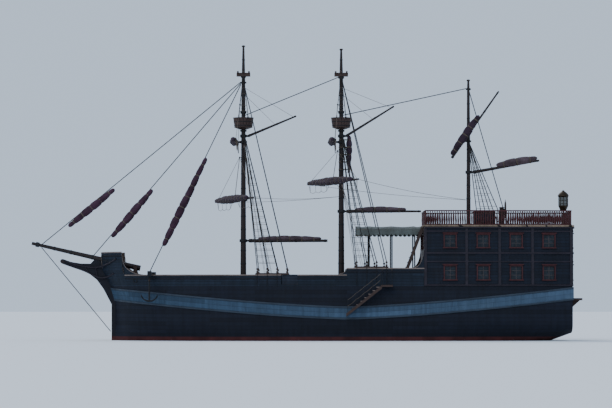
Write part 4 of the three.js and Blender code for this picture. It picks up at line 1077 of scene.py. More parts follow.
FORE_STAYS = {
    "tip": (18.05, 0, bowsprit_z(18.05)),
    "head": (14.9, 0, bowsprit_z(14.9)),
    "deck": (11.78, 0, FORE_DECK),
}


def stay_head(mast, n):
    return (mast["x"] + mast_radius(mast, mast["head"]) + 0.045, 0,
            mast["head"] + 0.035 - 0.075 * n)


def deadeye(form, x, y, z):
    """A round wooden deadeye that faces outboard, in its iron strap."""
    for radius, half, kind in ((0.062, 0.03, 2), (0.07, 0.012, 1)):
        form.bar([[(x + radius * math.cos(a), y + dy, z + radius * math.sin(a))
                   for a in turns(14)] for dy in (-half, half)], kind, smooth=True)


def shroud_lines(form, mast, plan, side, y_at):
    """The shrouds of one side. Returns the foot and the head of each."""
    foot = plan["board"] + SHROUD_FOOT
    lines = []
    for drop in plan["drops"]:
        high = Vector((mast["x"], side * (mast_radius(mast, mast["hounds"]) + 0.04),
                       mast["hounds"]))
        lines.append((Vector((mast["x"] - drop, y_at(drop), foot)), high))
    ropes = list(lines)
    if side in plan["backs"]:
        back = plan["back"]
        top = (mast["x"] - 0.02, side * (mast_radius(mast, mast["head"]) + 0.04), mast["head"])
        ropes.append(((mast["x"] - back, y_at(back), foot), top))
    for rope in ropes:
        form.tube(rope, CABLE, 8, 0)
    return lines


def ratlines(form, lines, low, high):
    """Ratlines across the shrouds, a little slack between them and past the outer two."""
    sag = Vector((0, 0, -0.015))
    z = low
    while z < high:
        marks = [Vector(mix(a, b, (z - a.z) / (b.z - a.z))) for a, b in lines]
        path = [marks[0] + (marks[0] - marks[1]).normalized() * 0.03]
        for a, b in zip(marks, marks[1:]):
            path += [a, (a + b) / 2 + sag]
        path += [marks[-1], marks[-1] - (marks[-2] - marks[-1]).normalized() * 0.03]
        form.tube(path, RATLINE, 5, 3)
        z += RATLINE_GAP


def standing_rigging(name, stays):
    mast, plan = MASTS[name], SHROUDS[name]
    form = Form()
    x, foot = mast["x"], plan["board"]
    for z in (mast["hounds"], mast["head"]):
        r = mast_radius(mast, z - 0.06) + 0.001
        form.turned([(r, z - 0.06), (r + 0.06, z - 0.05), (r + 0.07, z - 0.03),
                     (r + 0.07, z + 0.03), (r + 0.06, z + 0.05), (r, z + 0.06)], x, 0, 24, 0)
    for side in (1, -1):
        def y_at(drop):
            return side * (breadth_at(x - drop, foot) - WALL / 2 - plan["inset"])
        lines = shroud_lines(form, mast, plan, side, y_at)
        ratlines(form, lines, foot + 0.75, mast["hounds"] - 0.5)
        # Each shroud's lanyards run between two deadeyes on the channel, a plank along the side
        feet = [*plan["drops"], *([plan["back"]] if side in plan["backs"] else [])]
        for drop in feet:
            px, py = x - drop, y_at(drop)
            deadeye(form, px, py, foot + 0.15)
            deadeye(form, px, py, foot + 0.33)
            for dx in (-0.03, 0, 0.03):
                form.tube([(px + dx, py, foot + 0.16), (px + dx, py, foot + 0.32)], 0.009, 5, 3)
        form.bar([[(x - drop, y_at(drop) + dy, foot + up) for dy, up in
                   ((0.08, 0.001), (0.08, 0.09), (-0.08, 0.09), (-0.08, 0.001))]
                  for drop in (plan["drops"][0] - 0.12, plan["back"] + 0.12)], 2)
        if name == "mizzen":
            continue
        # Chain plates run down the side, but not across a gate
        for px in (x - drop for drop in feet):
            if not GATE[0] < px < GATE[1]:
                high, low = breadth_at(px, foot - 0.1) + 0.055, breadth_at(px, 3.35)
                form.tube([(px, side * high, foot + 0.09), (px, side * high, foot - 0.1),
                           (px, side * (low + 0.014), foot - 0.5), (px, side * (low + 0.012), 3.3)],
                          0.014, 6, 1)
    for n, to in enumerate(stays):
        form.tube([stay_head(mast, n), to], CABLE, 8, 0)
    form.make(f"{name}_standing_rigging", ["rigging_wire", "iron", "dark_wood", "rope"], "ship",
              [f"{name}_rigging"], crease=40)


def topmast_shrouds(name):
    """Shrouds with ratlines from the nest's rim to the crosstrees."""
    mast = MASTS[name]
    form = Form()
    x, rim = mast["x"], NEST["flare"] - 0.02
    high = TREES[0] - 0.03
    r = mast_radius(mast, high)
    for side in (1, -1):
        lines = []
        for degrees in (62, 90, 118):
            a = math.radians(degrees)
            foot = Vector((x + rim * math.cos(a), side * rim * math.sin(a), NEST["rim"] - 0.01))
            top = Vector((x + 0.06 * math.cos(a), side * (r + 0.02), high))
            form.tube([foot, top], 0.017, 6, 0)
            form.tube([foot + Vector((0, 0, -0.12)), foot + (top - foot).normalized() * 0.14],
                      0.03, 8, 1)
            lines.append((foot, top))
        z = NEST["rim"] + 0.38
        while z < high - 0.35:
            form.tube([mix(low, top, (z - low.z) / (top.z - low.z)) for low, top in lines],
                      RATLINE * 0.9, 5, 2)
            z += 0.36
    form.turned([(r + 0.001, high - 0.04), (r + 0.045, high - 0.03), (r + 0.045, high + 0.02),
                 (r + 0.001, high + 0.025)], x, 0, 24, 0)
    form.make(f"{name}_topmast_shrouds", ["rigging_wire", "iron", "rope"], "ship")


# Spars that move, each on its own body

def belt(circles):
    """The outline of a line pulled tight round some circles, each (across, up, radius)."""
    loop = []
    for a in turns(28):
        da, du = math.cos(a), math.sin(a)
        ca, cu, r = max(circles, key=lambda c: c[0] * da + c[1] * du + c[2])
        loop.append((ca + r * da, cu + r * du))
    return loop


def basis(a, b, up):
    """The direction from a to b, and the two across it that hold the line up."""
    along = (Vector(b) - Vector(a)).normalized()
    across = along.cross(Vector(up)).normalized()
    return along, across, across.cross(along)


UP = (0, 0, 1)
FURL_STEP = 0.075
FURL_SIDES = 30
GASKET_GAP = 0.72
# How far round its tie a gasket pinches the roll, and the highest a fold stands over the roll
PINCH = 0.075
FOLD_OVER = 0.012


def furl(name, start, end, radius, up, body, material, spar, ends=0.45, seed=0.0,
         gaskets=GASKET_GAP, skew=1.0, full=0.9):
    """A furled sail: a roll of loose folds, pinched by gaskets that go round it and its spar.
    spar is (across, up, radius) of the spar from the roll's line. A skew under 1 swells the
    roll near its start, and full is its mean radius as a share of the whole."""
    start, end = Vector(start), Vector(end)
    along, across, rise = basis(start, end, up)
    length = (end - start).length
    count = max(3, round(length * 0.96 / gaskets))
    ties = [length * (0.02 + 0.96 * (n + 0.5) / count) for n in range(count)]

    def swell_at(t):
        return radius * (ends + (1 - ends) * math.sin(math.pi * t ** skew))

    def section(s):
        """The roll's outline at a distance from its start, with the folds in it."""
        swell = swell_at(s / length)
        close = min(1.0, (min(s, length - s) + 0.012) / (radius * 0.5)) ** 0.45
        near = min(abs(s - tie) for tie in ties)
        pinch = math.exp(-(near / PINCH) ** 2)
        sag = 0.1 * math.sin(min(1.0, near / (gaskets / 2)) * math.pi / 2)
        row = []
        for a in turns(FURL_SIDES):
            place = Vector((math.cos(a) * 0.9, math.sin(a) * 0.9, s * 0.85 + seed))
            lump = 0.13 * noise_at(place * 1.7)
            ridge = math.sin(a * 5 + 2.2 * noise_at(Vector((seed, 0, s * 0.9))) + s * 0.8)
            fold = 0.055 * ridge + 0.03 * math.sin(a * 11 - s * 2.3 + seed)
            r = swell * close * (full + lump + fold * (1 - 0.5 * pinch) - 0.2 * pinch)
            r = min(r * (1 + sag * max(0.0, -math.sin(a))), swell + FOLD_OVER)
            row.append(start + along * s + across * (r * math.cos(a)) + rise * (r * math.sin(a)))
        return row
    form = Form()
    form.bar([section(s) for s in spaced(0, length, int(length / FURL_STEP) + 1)], smooth=True)
    roll = form.make(f"{name}_cloth", [material], body, [name], crease=75)
    cords = Form()
    for tie in ties:
        t = tie / length
        circles = [(0, 0, swell_at(t) * 0.8 + 0.004),
                   (spar[0], spar[1], spar[2](t) if callable(spar[2]) else spar[2])]
        for shift in (-0.018, 0.018):
            loop = [start + along * (tie + shift) + across * ca + rise * cu
                    for ca, cu in belt(circles)]
            cords.tube(loop + loop[:2], 0.015, 6, 0, ends=False)
    cords.make(f"{name}_gaskets", ["rope"], body)


def collar(form, mast, z, half, reach, ease):
    """An iron ring that turns on a mast, 0.4 mm clear of it at its lower edge."""
    low = (mast_radius(mast, z - half) + 0.0004) / math.cos(math.pi / 32)
    high = mast_radius(mast, z) + reach
    form.hoop([(low, z - half), (high - ease, z - half), (high, z - half + 0.02),
               (high, z + half - 0.02), (high - ease, z + half), (low, z + half)], mast["x"], 1)


def tapered_spar(form, start, end, r0, r1, bands, band_half):
    """A round spar that tapers, with iron bands at some shares of its length."""
    marks = spaced(0, 1, 16)
    form.tube([mix(start, end, t) for t in marks], [r0 + (r1 - r0) * t for t in marks], 16, 0)
    for t in bands:
        form.tube([mix(start, end, t - band_half), mix(start, end, t + band_half)],
                  r0 + (r1 - r0) * t + 0.01, 16, 1)


# Brace is how far a yard is turned aft on the port side, in degrees
YARDS = {
    "fore_lower": dict(mast="fore", z=8.6, half=4.7, r=0.11, ahead=0.56, sail=0.27, brace=15),
    "fore_topsail": dict(mast="fore", z=12.15, half=3.5, r=0.085, ahead=0.39, sail=0.25, brace=0),
    "main_lower": dict(mast="main", z=9.7, half=4.9, r=0.11, ahead=0.56, sail=0.27, brace=18),
    "main_topsail": dict(mast="main", z=12.15, half=3.6, r=0.085, ahead=0.39, sail=0.25, brace=0),
}
YARD_BANDS = (-0.93, -0.6, -0.3, -0.09, 0.09, 0.3, 0.6, 0.93)
# Share of a yard's length that its furled sail takes up
SAIL_REACH = 0.86
FOOTROPE = 0.012
FOOTROPE_DROP = 0.5
STIRRUPS = (0.26, 0.48, 0.7, 0.92)
# The lower yards' lifts end below the topsail yards
LIFT_TOP = 11.6


def yard_ropes(form, x, z, r, half, eye, head):
    """Footropes hung from stirrups, and lifts that hold the yardarms from an eye on the mast."""
    back, drop = x - 0.04, z - FOOTROPE_DROP
    for side in (1, -1):
        path = [(x - 0.03, side * half * 0.12, z - r * 0.8)]
        for a, b in zip(STIRRUPS, STIRRUPS[1:]):
            for t in spaced(0, 1, 7)[: 7 if b == STIRRUPS[-1] else 6]:
                path.append((back, side * half * (a + (b - a) * t),
                             drop - 0.08 * math.sin(math.pi * t)))
        path.append((x, side * half * 0.95, z - 0.04))
        form.tube(path, FOOTROPE, 5, 2)
        for share in STIRRUPS:
            y = side * half * share
            form.tube([(x - 0.02, y, z - r * 0.4), (back, y, drop)], FOOTROPE * 0.8, 5, 2)
        form.tube([(x, side * half * 0.94, z + r * 0.5), (eye - 0.03, side * 0.03, head)],
                  FOOTROPE, 5, 2)


def yard_pieces(name):
    plan = YARDS[name]
    mast = MASTS[plan["mast"]]
    x, z, r, half = mast["x"] + plan["ahead"], plan["z"], plan["r"], plan["half"]
    body = f"{name}_yard_body"
    form = Form()

    def thick(t):
        """The yard's radius at a share of the way from its middle to its tip."""
        return r * (1 - 0.5 * abs(t))
    marks = spaced(-1, 1, 25)
    form.tube([(x, half * t, z) for t in marks], [thick(t) for t in marks], 16, 0)
    for t in YARD_BANDS:
        form.tube([(x, half * t - 0.035, z), (x, half * t + 0.035, z)], thick(t) + 0.01, 16, 1)
    form.box(mast["x"] + mast_radius(mast, z) + 0.06, x, -0.06, 0.06, z - 0.06, z + 0.06, 1)
    head = min(z + 2.6, LIFT_TOP) if "lower" in name else z + 2.3
    eye = mast["x"] + mast_radius(mast, head) + 0.13
    form.tube([(eye - 0.12, 0, head), (eye, 0, head)], 0.02, 8, 1)
    form.tube([(eye - 0.03, 0, head - 0.05), (eye - 0.03, 0, head + 0.05)], 0.035, 10, 1)
    if "lower" in name:
        form.tube([(eye - 0.03, 0, head), (x - 0.02, 0, z + r * 0.9)], 0.02, 8, 2)
    yard_ropes(form, x, z, r, half, eye, head)
    form.turn(mast["x"], plan["brace"])
    collar(form, mast, z, 0.08, 0.09, 0.02)
    form.make(f"{name}_yard_spar", ["yard_wood", "iron", "rope"], body, [f"{name}_yard"])
    sx, sz = x + plan["sail"] * 0.75, z + 0.04
    ends = [turned_about((sx, side * half * SAIL_REACH, sz), mast["x"], plan["brace"])
            for side in (-1, 1)]
    furl(f"{name}_sail", *ends, plan["sail"], UP, body, "furled_cloth",
         (x - sx, z - sz, lambda t: thick((2 * t - 1) * SAIL_REACH)),
         seed=3.1 * len(name) + z)


BOOMS = {
    "fore_boom": dict(mast="fore", z0=6.1, z1=6.1, end=0.48, r0=0.11, r1=0.08,
                      sail=(0.12, 0.92, 0.19)),
    "main_boom": dict(mast="main", z0=7.9, z1=7.9, end=-5.25, r0=0.105, r1=0.06,
                      sail=(0.12, 0.8, 0.18)),
    "mizzen_boom": dict(mast="mizzen", z0=10.3, z1=11.02, end=-12.5, r0=0.1, r1=0.06,
                        sail=(0.35, 0.97, 0.26)),
    "fore_gaff": dict(mast="fore", z0=12.52, z1=13.75, end=2.4, r0=0.08, r1=0.05),
    "main_gaff": dict(mast="main", z0=12.52, z1=14.35, end=-3.6, r0=0.08, r1=0.05),
}
BRAILED = dict(mast="main", top=12.56, foot=10.2, behind=0.48, radius=0.2)


def boom_pieces(name):
    plan = BOOMS[name]
    mast = MASTS[plan["mast"]]
    body = f"{name}_body"
    z0, r0, r1 = plan["z0"], plan["r0"], plan["r1"]
    x = mast["x"] - mast_radius(mast, z0)
    start, end = (x - 0.16, 0, z0), (plan["end"], 0, plan["z1"])
    form = Form()
    tapered_spar(form, start, end, r0, r1, (0.03, 0.3, 0.6, 0.97), 0.01)
    collar(form, mast, z0, 0.09, 0.07, 0.015)
    form.box(x - 0.24, x - 0.04, -0.045, 0.045, z0 - 0.06, z0 + 0.06, 1)
    if "sail" not in plan:
        # Peak halyards hold a gaff up from its mast
        for share, high in ((0.55, 15.0), (0.93, 15.45)):
            low = Vector(mix(start, end, share)) + Vector((0, 0, r1))
            form.tube([low, (mast["x"] - mast_radius(mast, high) - 0.012, 0, high)],
                      FOOTROPE, 5, 2)
    form.make(f"{name}_spar", ["spar_wood", "iron", "rope"], body, [name], bevel=0.004)
    if "sail" not in plan:
        return
    t0, t1, radius = plan["sail"]
    lift = radius * 0.7
    ends = [(px, py, pz + lift) for px, py, pz in (mix(start, end, t) for t in (t0, t1))]
    furl(f"{name}_sail", *ends, radius, UP, body, "boom_cloth",
         (0, -lift, lambda t: r0 + (r1 - r0) * (t0 + (t1 - t0) * t)), seed=5.7 * len(name))


def brailed_sail():
    """The main gaff's sail, gathered in to the mast by its brails."""
    top, foot, behind = (BRAILED[k] for k in ("top", "foot", "behind"))
    mast = MASTS[BRAILED["mast"]]
    x = mast["x"] - behind

    def pole(t):
        return mast_radius(mast, top + (foot - top) * t) + 0.012
    furl("main_gaff_sail", (x, 0, top), (x, 0, foot), BRAILED["radius"], (-1, 0, 0),
         "main_gaff_body", "furled_cloth", (0, -behind, pole), ends=0.3, skew=0.6, seed=23.0,
         gaskets=0.45)


LATEEN = dict(low=(-7.12, 11.15), high=(-10.0, 15.24), y=0.42, sling=12.9, r0=0.08, r1=0.05)
LATEEN_SIDE = Vector((0.8, 0, 0.55))


def lateen_pieces():
    plan, mast = LATEEN, MASTS["mizzen"]
    (x0, z0), (x1, z1) = plan["low"], plan["high"]
    y, sling = plan["y"], plan["sling"]
    start, end = (x0, y, z0), (x1, y, z1)
    form = Form()
    tapered_spar(form, start, end, plan["r0"], plan["r1"], (0.02, 0.35, 0.7, 0.97), 0.008)
    collar(form, mast, sling, 0.08, 0.08, 0.015)
    form.box(mast["x"] - 0.15, mast["x"] + 0.01, mast_radius(mast, sling) + 0.05, y,
             sling - 0.06, sling + 0.06, 1)
    form.make("lateen_spar", ["spar_wood", "iron"], "lateen_body", ["lateen_yard"], bevel=0.004)
    # The roll lies forward of the yard, and a little to port of it
    off, aside = 0.15, 0.04
    ends = [Vector(mix(start, end, t)) + Vector((0, aside, 0)) + LATEEN_SIDE * off
            for t in (0.03, 0.62)]
    run = (Vector(end) - Vector(start)).normalized()
    up = (LATEEN_SIDE - run * LATEEN_SIDE.dot(run)).normalized()
    across = basis(start, end, up)[1]
    furl("lateen_sail", *ends, 0.26, up, "lateen_body", "furled_cloth",
         (-aside * across.y, -off * LATEEN_SIDE.dot(up), 0.075), seed=11.3, gaskets=0.62)


# Furled jibs: stay, height of foot and head, radius, hang below the stay, skew
JIBS = (("tip", 7.2, 9.5, 0.23, 0.23, 1.0), ("head", 6.5, 9.4, 0.23, 0.17, 1.0),
        ("deck", 5.9, 11.3, 0.23, 0.12, 0.75))


def stay_point(name, z):
    top = stay_head(MASTS["fore"], list(FORE_STAYS).index(name))
    end = FORE_STAYS[name]
    return mix(end, top, (z - end[2]) / (top[2] - end[2]))


def jib_pieces():
    for n, (stay, z0, z1, radius, hang, skew) in enumerate(JIBS):
        ends = [Vector(stay_point(stay, z)) - Vector((0, 0, hang)) for z in (z0, z1)]
        along = (ends[1] - ends[0]).normalized()
        rise = Vector(UP) - along * along.z
        furl(f"jib_{n + 1}", *ends, radius, rise.normalized(), "ship", "jib_cloth",
             (0, hang * rise.length, CABLE), ends=0.5, seed=17.0 + 3.7 * n, skew=skew, full=0.98)


# Braces lead from the lower yardarms to the mast behind: yard, mast, height
BRACES = (("fore_lower", "main", 8.8), ("main_lower", "mizzen", 8.6))


def braces():
    for name, behind, height in BRACES:
        plan, to = YARDS[name], MASTS[behind]
        mast = MASTS[plan["mast"]]
        for side, label in ((1, "port"), (-1, "starboard")):
            tip = (mast["x"] + plan["ahead"], side * plan["half"] * 0.97, plan["z"])
            arm = turned_about(tip, mast["x"], plan["brace"])
            end = (to["x"] + mast_radius(to, height) * 0.9, side * 0.06, height)
            form = Form()
            form.tube([Vector(mix(arm, end, t)) - Vector((0, 0, 0.12 * math.sin(math.pi * t)))
                       for t in spaced(0, 1, 25)], 0.012, 6)
            line = form.make(f"{name}_brace_{label}", ["rope"], None)
            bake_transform(line)


# Bowsprit, with its gammoning, cap and bobstay

BOWSPRIT_BANDS = (13.2, 14.9, 16.2, 17.2)
BOBSTAY = ((18.0, 0.12), (13.76, 0, 0.55))


def along_bowsprit(form, places, radii, kind):
    """A round bar along the bowsprit's middle line."""
    form.tube([(x, 0, bowsprit_z(x)) for x in places], radii, 24, kind)


def gammoning(form):
    """Turns of rope that go round the spar and down to the stem on each side."""
    for n in range(6):
        x = 14.05 + 0.055 * n
        r, z = bowsprit_radius(x) + 0.012, bowsprit_z(x)
        loop = [(x, r * math.cos(a), z + r * math.sin(a))
                for a in spaced(-0.15 * math.pi, 1.15 * math.pi, 15)]
        low = [(x - 0.08, y, z - 0.62) for y in (0.128, -0.128)]
        form.tube([low[0], *loop, low[1]], 0.022, 6, 2)


def bowsprit_piece():
    form = Form()
    marks = spaced(BOWSPRIT["heel"], BOWSPRIT["tip"] - 0.001, 24)
    along_bowsprit(form, marks, [bowsprit_radius(x) for x in marks], 0)
    form.tube([(x, 0, bowsprit_z(x)) for x in (18.15, 18.35)], 0.15, 20, 1)
    for x in BOWSPRIT_BANDS:
        along_bowsprit(form, (x - 0.05, x + 0.05), bowsprit_radius(x) + 0.012, 1)
    gammoning(form)
    (x, drop), stem = BOBSTAY
    form.tube([(x, 0, bowsprit_z(x) - drop), stem], 0.024, 8, 3)
    # A shroud leads to the bow on each side
    for side in (1, -1):
        form.tube([(17.9, side * 0.09, bowsprit_z(17.9)), (13.0, side * 0.95, 4.6)], 0.018, 6, 3)
    form.make("bowsprit_spar", ["spar_wood", "iron", "rope", "rigging_wire"], "ship", ["bowsprit"])


# Head rails run from the bow to the head of the knee: x, how far out, z along each
HEAD_RAILS = (
    ((13.35, 0.0, 4.98), (13.8, 0.02, 4.72), (14.4, 0.3, 4.5), (15.0, 0.19, 4.47),
     (15.7, 0.155, 4.58), (16.3, 0.15, 4.76), (16.72, 0.14, 4.93)),
    ((13.5, 0.0, 4.1), (13.9, 0.0, 3.9), (14.35, 0.24, 3.82), (14.8, 0.17, 3.98),
     (15.4, 0.15, 4.26), (16.1, 0.145, 4.5), (16.66, 0.14, 4.7)),
)
BILLET = dict(x=16.72, z=4.84, r=0.13, half=0.15)


def beakhead():
    """Head rails, their timbers, and a scroll at the knee's head."""
    form = Form()
    for side in (1, -1):
        rails = []
        for rail in HEAD_RAILS:
            path = smooth_curve([(x, side * max(out, bow_breadth(x, z) + 0.03), z)
                                 for x, out, z in rail], 6)
            form.tube(path, [0.055 - 0.02 * t for t in spaced(0, 1, len(path))], 10, 0)
            rails.append(path)
        for share in (0.42, 0.58, 0.74):
            a, b = (path[int(share * len(path))] for path in rails)
            form.tube([a, mix(a, b, 0.5), b], 0.028, 6, 0)
    bx, bz, br, half = (BILLET[k] for k in ("x", "z", "r", "half"))
    form.tube([(bx, -half, bz), (bx, half, bz)], br, 24, 1)
    for side in (1, -1):
        curl = []
        for t in spaced(0, 1, 30):
            a, r = 4.2 * math.pi * t, (br - 0.012) * (1 - 0.85 * t)
            curl.append((bx + r * math.cos(a), side * (half + 0.004), bz + r * math.sin(a)))
        form.tube(curl, [0.018 - 0.008 * t for t in spaced(0, 1, 30)], 6, 0)
    form.make("beakhead", ["castle_trim", "dark_wood"], "ship")


# Awning: a stretched canvas with a sag between its bows and a scalloped valance

AWNING = dict(fore=-1.25, aft=-5.24, half=1.98, z=6.76, crown=6.93, posts=(-2.04, -3.42, -4.8))
HEM = 0.13
SCALLOPS = 15
SCALLOP_STEPS = 8


def awning_sag(x):
    """How far the canvas hangs between two of its bows."""
    bows = (AWNING["fore"], *AWNING["posts"], AWNING["aft"])
    for a, b in zip(bows, bows[1:]):
        if b <= x <= a:
            return 0.045 * math.sin(math.pi * (a - x) / (a - b))
    return 0


def awning_top(x, y):
    half, z, crown = (AWNING[k] for k in ("half", "z", "crown"))
    rise = max(0.0, (crown - z) * (1 - (y / (half - HEM)) ** 2))
    slack = awning_sag(x) * (1 - 0.35 * abs(y / half))
    ripple = 0.006 * noise_at(Vector((x * 2.3, y * 2.3, 0.4)))
    return z + 0.052 + rise - slack * (0.3 + 0.7 * min(1, rise / 0.1)) + ripple


def awning_sheet():
    a = AWNING
    form = Form()
    upper, lower = ([[(x, y, awning_top(x, y) - drop) for y in spaced(-a["half"], a["half"], 45)]
                     for x in spaced(a["fore"], a["aft"], 73)] for drop in (0, 0.008))
    form.grid(upper, 0)
    form.grid(lower, 0, flip=True)
    for n in (0, -1):
        form.grid([[row[n] for row in upper], [row[n] for row in lower]], 0, smooth=False)
        form.grid([upper[n], lower[n]], 0, smooth=False)
    return form.make("awning_canvas", ["canvas"], "ship", ["awning"], crease=60)


def awning_hems():
    """The scalloped valance along each side, and a seam across each end."""
    a = AWNING
    form = Form()
    for side in (1, -1):
        y = side * (a["half"] - 0.004)
        outer = []
        for i, x in enumerate(spaced(a["fore"], a["aft"], SCALLOPS * SCALLOP_STEPS + 1)):
            depth = 0.33 + 0.1 * abs(math.sin(math.pi * i / SCALLOP_STEPS)) ** 0.7
            z, lean = awning_top(x, y), 0.02 * noise_at(Vector((x * 1.9, side, 0)))
            outer.append([(x, y, z), (x, y + lean - side * 0.006, z - depth * 0.5),
                          (x, y + lean * 1.6 - side * 0.014, z - depth)])
        inner = [[(px, py - side * 0.005, pz) for px, py, pz in row] for row in outer]
        form.grid(outer, 0, flip=side < 0)
        form.grid(inner, 0, flip=side > 0)
        form.grid([[p[-1] for p in outer], [p[-1] for p in inner]], 0, smooth=False)
    for x in (a["fore"], a["aft"]):
        form.bar([[(x + dx, y, awning_top(x, y) + dz) for dx, dz in
                   ((-0.004, 0.004), (0.004, 0.004), (0.004, -0.09), (-0.004, -0.09))]
                  for y in spaced(-a["half"], a["half"], 40)], smooth=True)
    return form.make("awning_valance", ["canvas"], "ship")


def awning_lacing():
    a = AWNING
    form = Form()
    z = a["z"] - 0.045
    for side in (1, -1):
        y = side * (a["half"] - 0.06)
        for x in spaced(a["fore"] - 0.08, a["aft"] + 0.08, 24):
            form.tube([(x, y + 0.055, z + 0.09), (x, y + 0.058, z - 0.06), (x, y - 0.055, z - 0.06),
                       (x, y - 0.058, z + 0.085)], 0.007, 5)
    return form.make("awning_lacing", ["rope"], "ship")


def awning_piece():
    awning_sheet()
    awning_hems()
    awning_lacing()


# Deck fittings

POOP_RAIL_TOP = 7.83


def between_posts(start, end, bays, gap):
    """Places at even gaps between the posts that part a run of rail into bays."""
    for n in range(bays):
        a, b = (start + (end - start) * m / bays for m in (n, n + 1))
        count = max(4, round((b - a) / gap))
        for m in range(1, count):
            yield a + (b - a) * m / count


def poop_balusters():
    """Turned balusters between the posts of the poop rail."""
    form = Form()
    z0 = TOP_DECK + 0.06
    profile = [(0.028, 0), (0.034, 0.06), (0.024, 0.09), (0.044, 0.26), (0.047, 0.38),
               (0.027, 0.6), (0.022, 0.7), (0.033, 0.75), (0.03, POOP_RAIL_TOP - z0)]
    spots = [(x, side * (breadth_at(x, 7.45) - 0.09)) for side in (1, -1)
             for x in between_posts(STERN_X + 0.11, CASTLE_FRONT + 0.03, 9, 0.14)]
    for x, y0, y1 in ((STERN_X + 0.1, -2.43, 2.43), (CASTLE_FRONT + 0.04, -3.08, 2.02)):
        spots += [(x, y) for y in between_posts(y0 + 0.06, y1 - 0.06, 4, 0.16)]
    for x, y in spots:
        form.turned([(r, z0 + dz) for r, dz in profile], x, y, 8)
    form.make("poop_balusters", ["red_wood"], "ship", crease=60)


def lantern_piece():
    """The stern lantern: ribs round pale glass, with a domed cap and a base."""
    form = Form()
    x, z0, z1, r = STERN_X + 0.38, 7.95, 9.2, 0.3
    form.turned([(0.06, TOP_DECK + 0.001), (0.075, TOP_DECK + 0.03), (0.045, TOP_DECK + 0.1),
                 (0.04, z0 - 0.1), (0.06, z0 - 0.03), (0.18, z0), (r * 0.92, z0 + 0.22),
                 (r, z0 + 0.25), (r, z0 + 0.3), (r - 0.03, z0 + 0.31)], x, 0, 24, 0)
    form.turned([(r - 0.035, z0 + 0.29), (r - 0.035, z1 - 0.41)], x, 0, 8, 1, smooth=False)
    form.turned([(r - 0.03, z1 - 0.43), (r, z1 - 0.42), (r * 1.15, z1 - 0.36),
                 (r * 1.12, z1 - 0.33), (r * 0.9, z1 - 0.22), (r * 0.55, z1 - 0.12),
                 (0.1, z1 - 0.08), (0.07, z1 - 0.05), (0.06, z1 - 0.02), (0.01, z1)], x, 0, 24, 0)
    for a in turns(8):
        px, py = x + (r - 0.018) * math.cos(a), (r - 0.018) * math.sin(a)
        form.tube([(px, py, z0 + 0.26), (px, py, z1 - 0.4)], 0.018, 6)
    for z in (z0 + 0.42, z0 + 0.62):
        form.tube([(x + (r - 0.02) * math.cos(a), (r - 0.02) * math.sin(a), z)
                   for a in turns(32, 34)], 0.01, 5, ends=False)
    form.make("stern_lantern_case", ["lantern_bronze", "lamp_glass"], "ship", ["stern_lantern"])


DECK_HOUSE = dict(x0=-9.7, x1=-8.5, half=0.76, top=7.839)
DOOR_HALF = 0.42


def deck_house_trim():
    """Corner boards, windows and door casings of the companion on the top deck."""
    form = Form()
    x0, x1, half, top = (DECK_HOUSE[k] for k in ("x0", "x1", "half", "top"))
    foot = TOP_DECK + 0.01
    for side in (1, -1):
        for a, b in ((x0, x0 + 0.1), (x1 - 0.1, x1), (x0 + 0.55, x0 + 0.65)):
            form.box(a, b, side * half, side * (half + 0.03), foot, top)
        for a, b in ((x0 + 0.14, x0 + 0.51), (x0 + 0.69, x1 - 0.14)):
            form.box(a, b, side * (half + 0.001), side * (half + 0.02), 7.3, 7.7, 1)
    for x, out in ((x0, -0.03), (x1, 0.03)):
        for y in (-half + 0.05, half - 0.05):
            form.box(x, x + out, y - 0.05, y + 0.05, foot, top)
        for y in (-DOOR_HALF, DOOR_HALF - 0.06):
            form.box(x, x + out, y, y + 0.06, foot, 7.72)
        form.box(x, x + out, -DOOR_HALF, DOOR_HALF, 7.72, 7.79)
        form.box(x + out * 0.05, x + out * 0.6, -0.24, 0.24, 7.32, 7.6, 1)
    form.make("deck_house_trim", ["trim_black", "shaded_window_glass"], "ship", bevel=0.005)


WINDLASS = dict(x=12.76, z=3.71, drum=0.14, cheek=0.33)
BITT_HEAD = 0.32


def bitts(form):
    """The bitts, their knees and the cross piece that hold the bowsprit's heel."""
    x0 = BOWSPRIT["heel"] + 0.17
    heel = bowsprit_z(x0) - bowsprit_radius(x0) * 1.03
    head = heel + BITT_HEAD
    for side in (1, -1):
        y0, y1 = sorted((side * 0.2, side * 0.42))
        for grow, low, high in ((0, FORE_DECK - 0.01, head - 0.05),
                                (0.012, head - 0.05, head - 0.02), (-0.03, head - 0.02, head)):
            form.box(x0 + 0.02 - grow, x0 + 0.24 + grow, y0 - grow, y1 + grow, low, high, 1)
        knee = [(x0 + 0.02, head - 0.35), (x0 + 0.02, FORE_DECK), (x0 - 0.32, FORE_DECK)]
        form.bar([[(x, y, z) for x, z in knee] for y in (side * 0.26, side * 0.36)], 1)
    form.box(x0, x0 + 0.26, -0.24, 0.24, FORE_DECK - 0.01, heel - 0.004, 1)


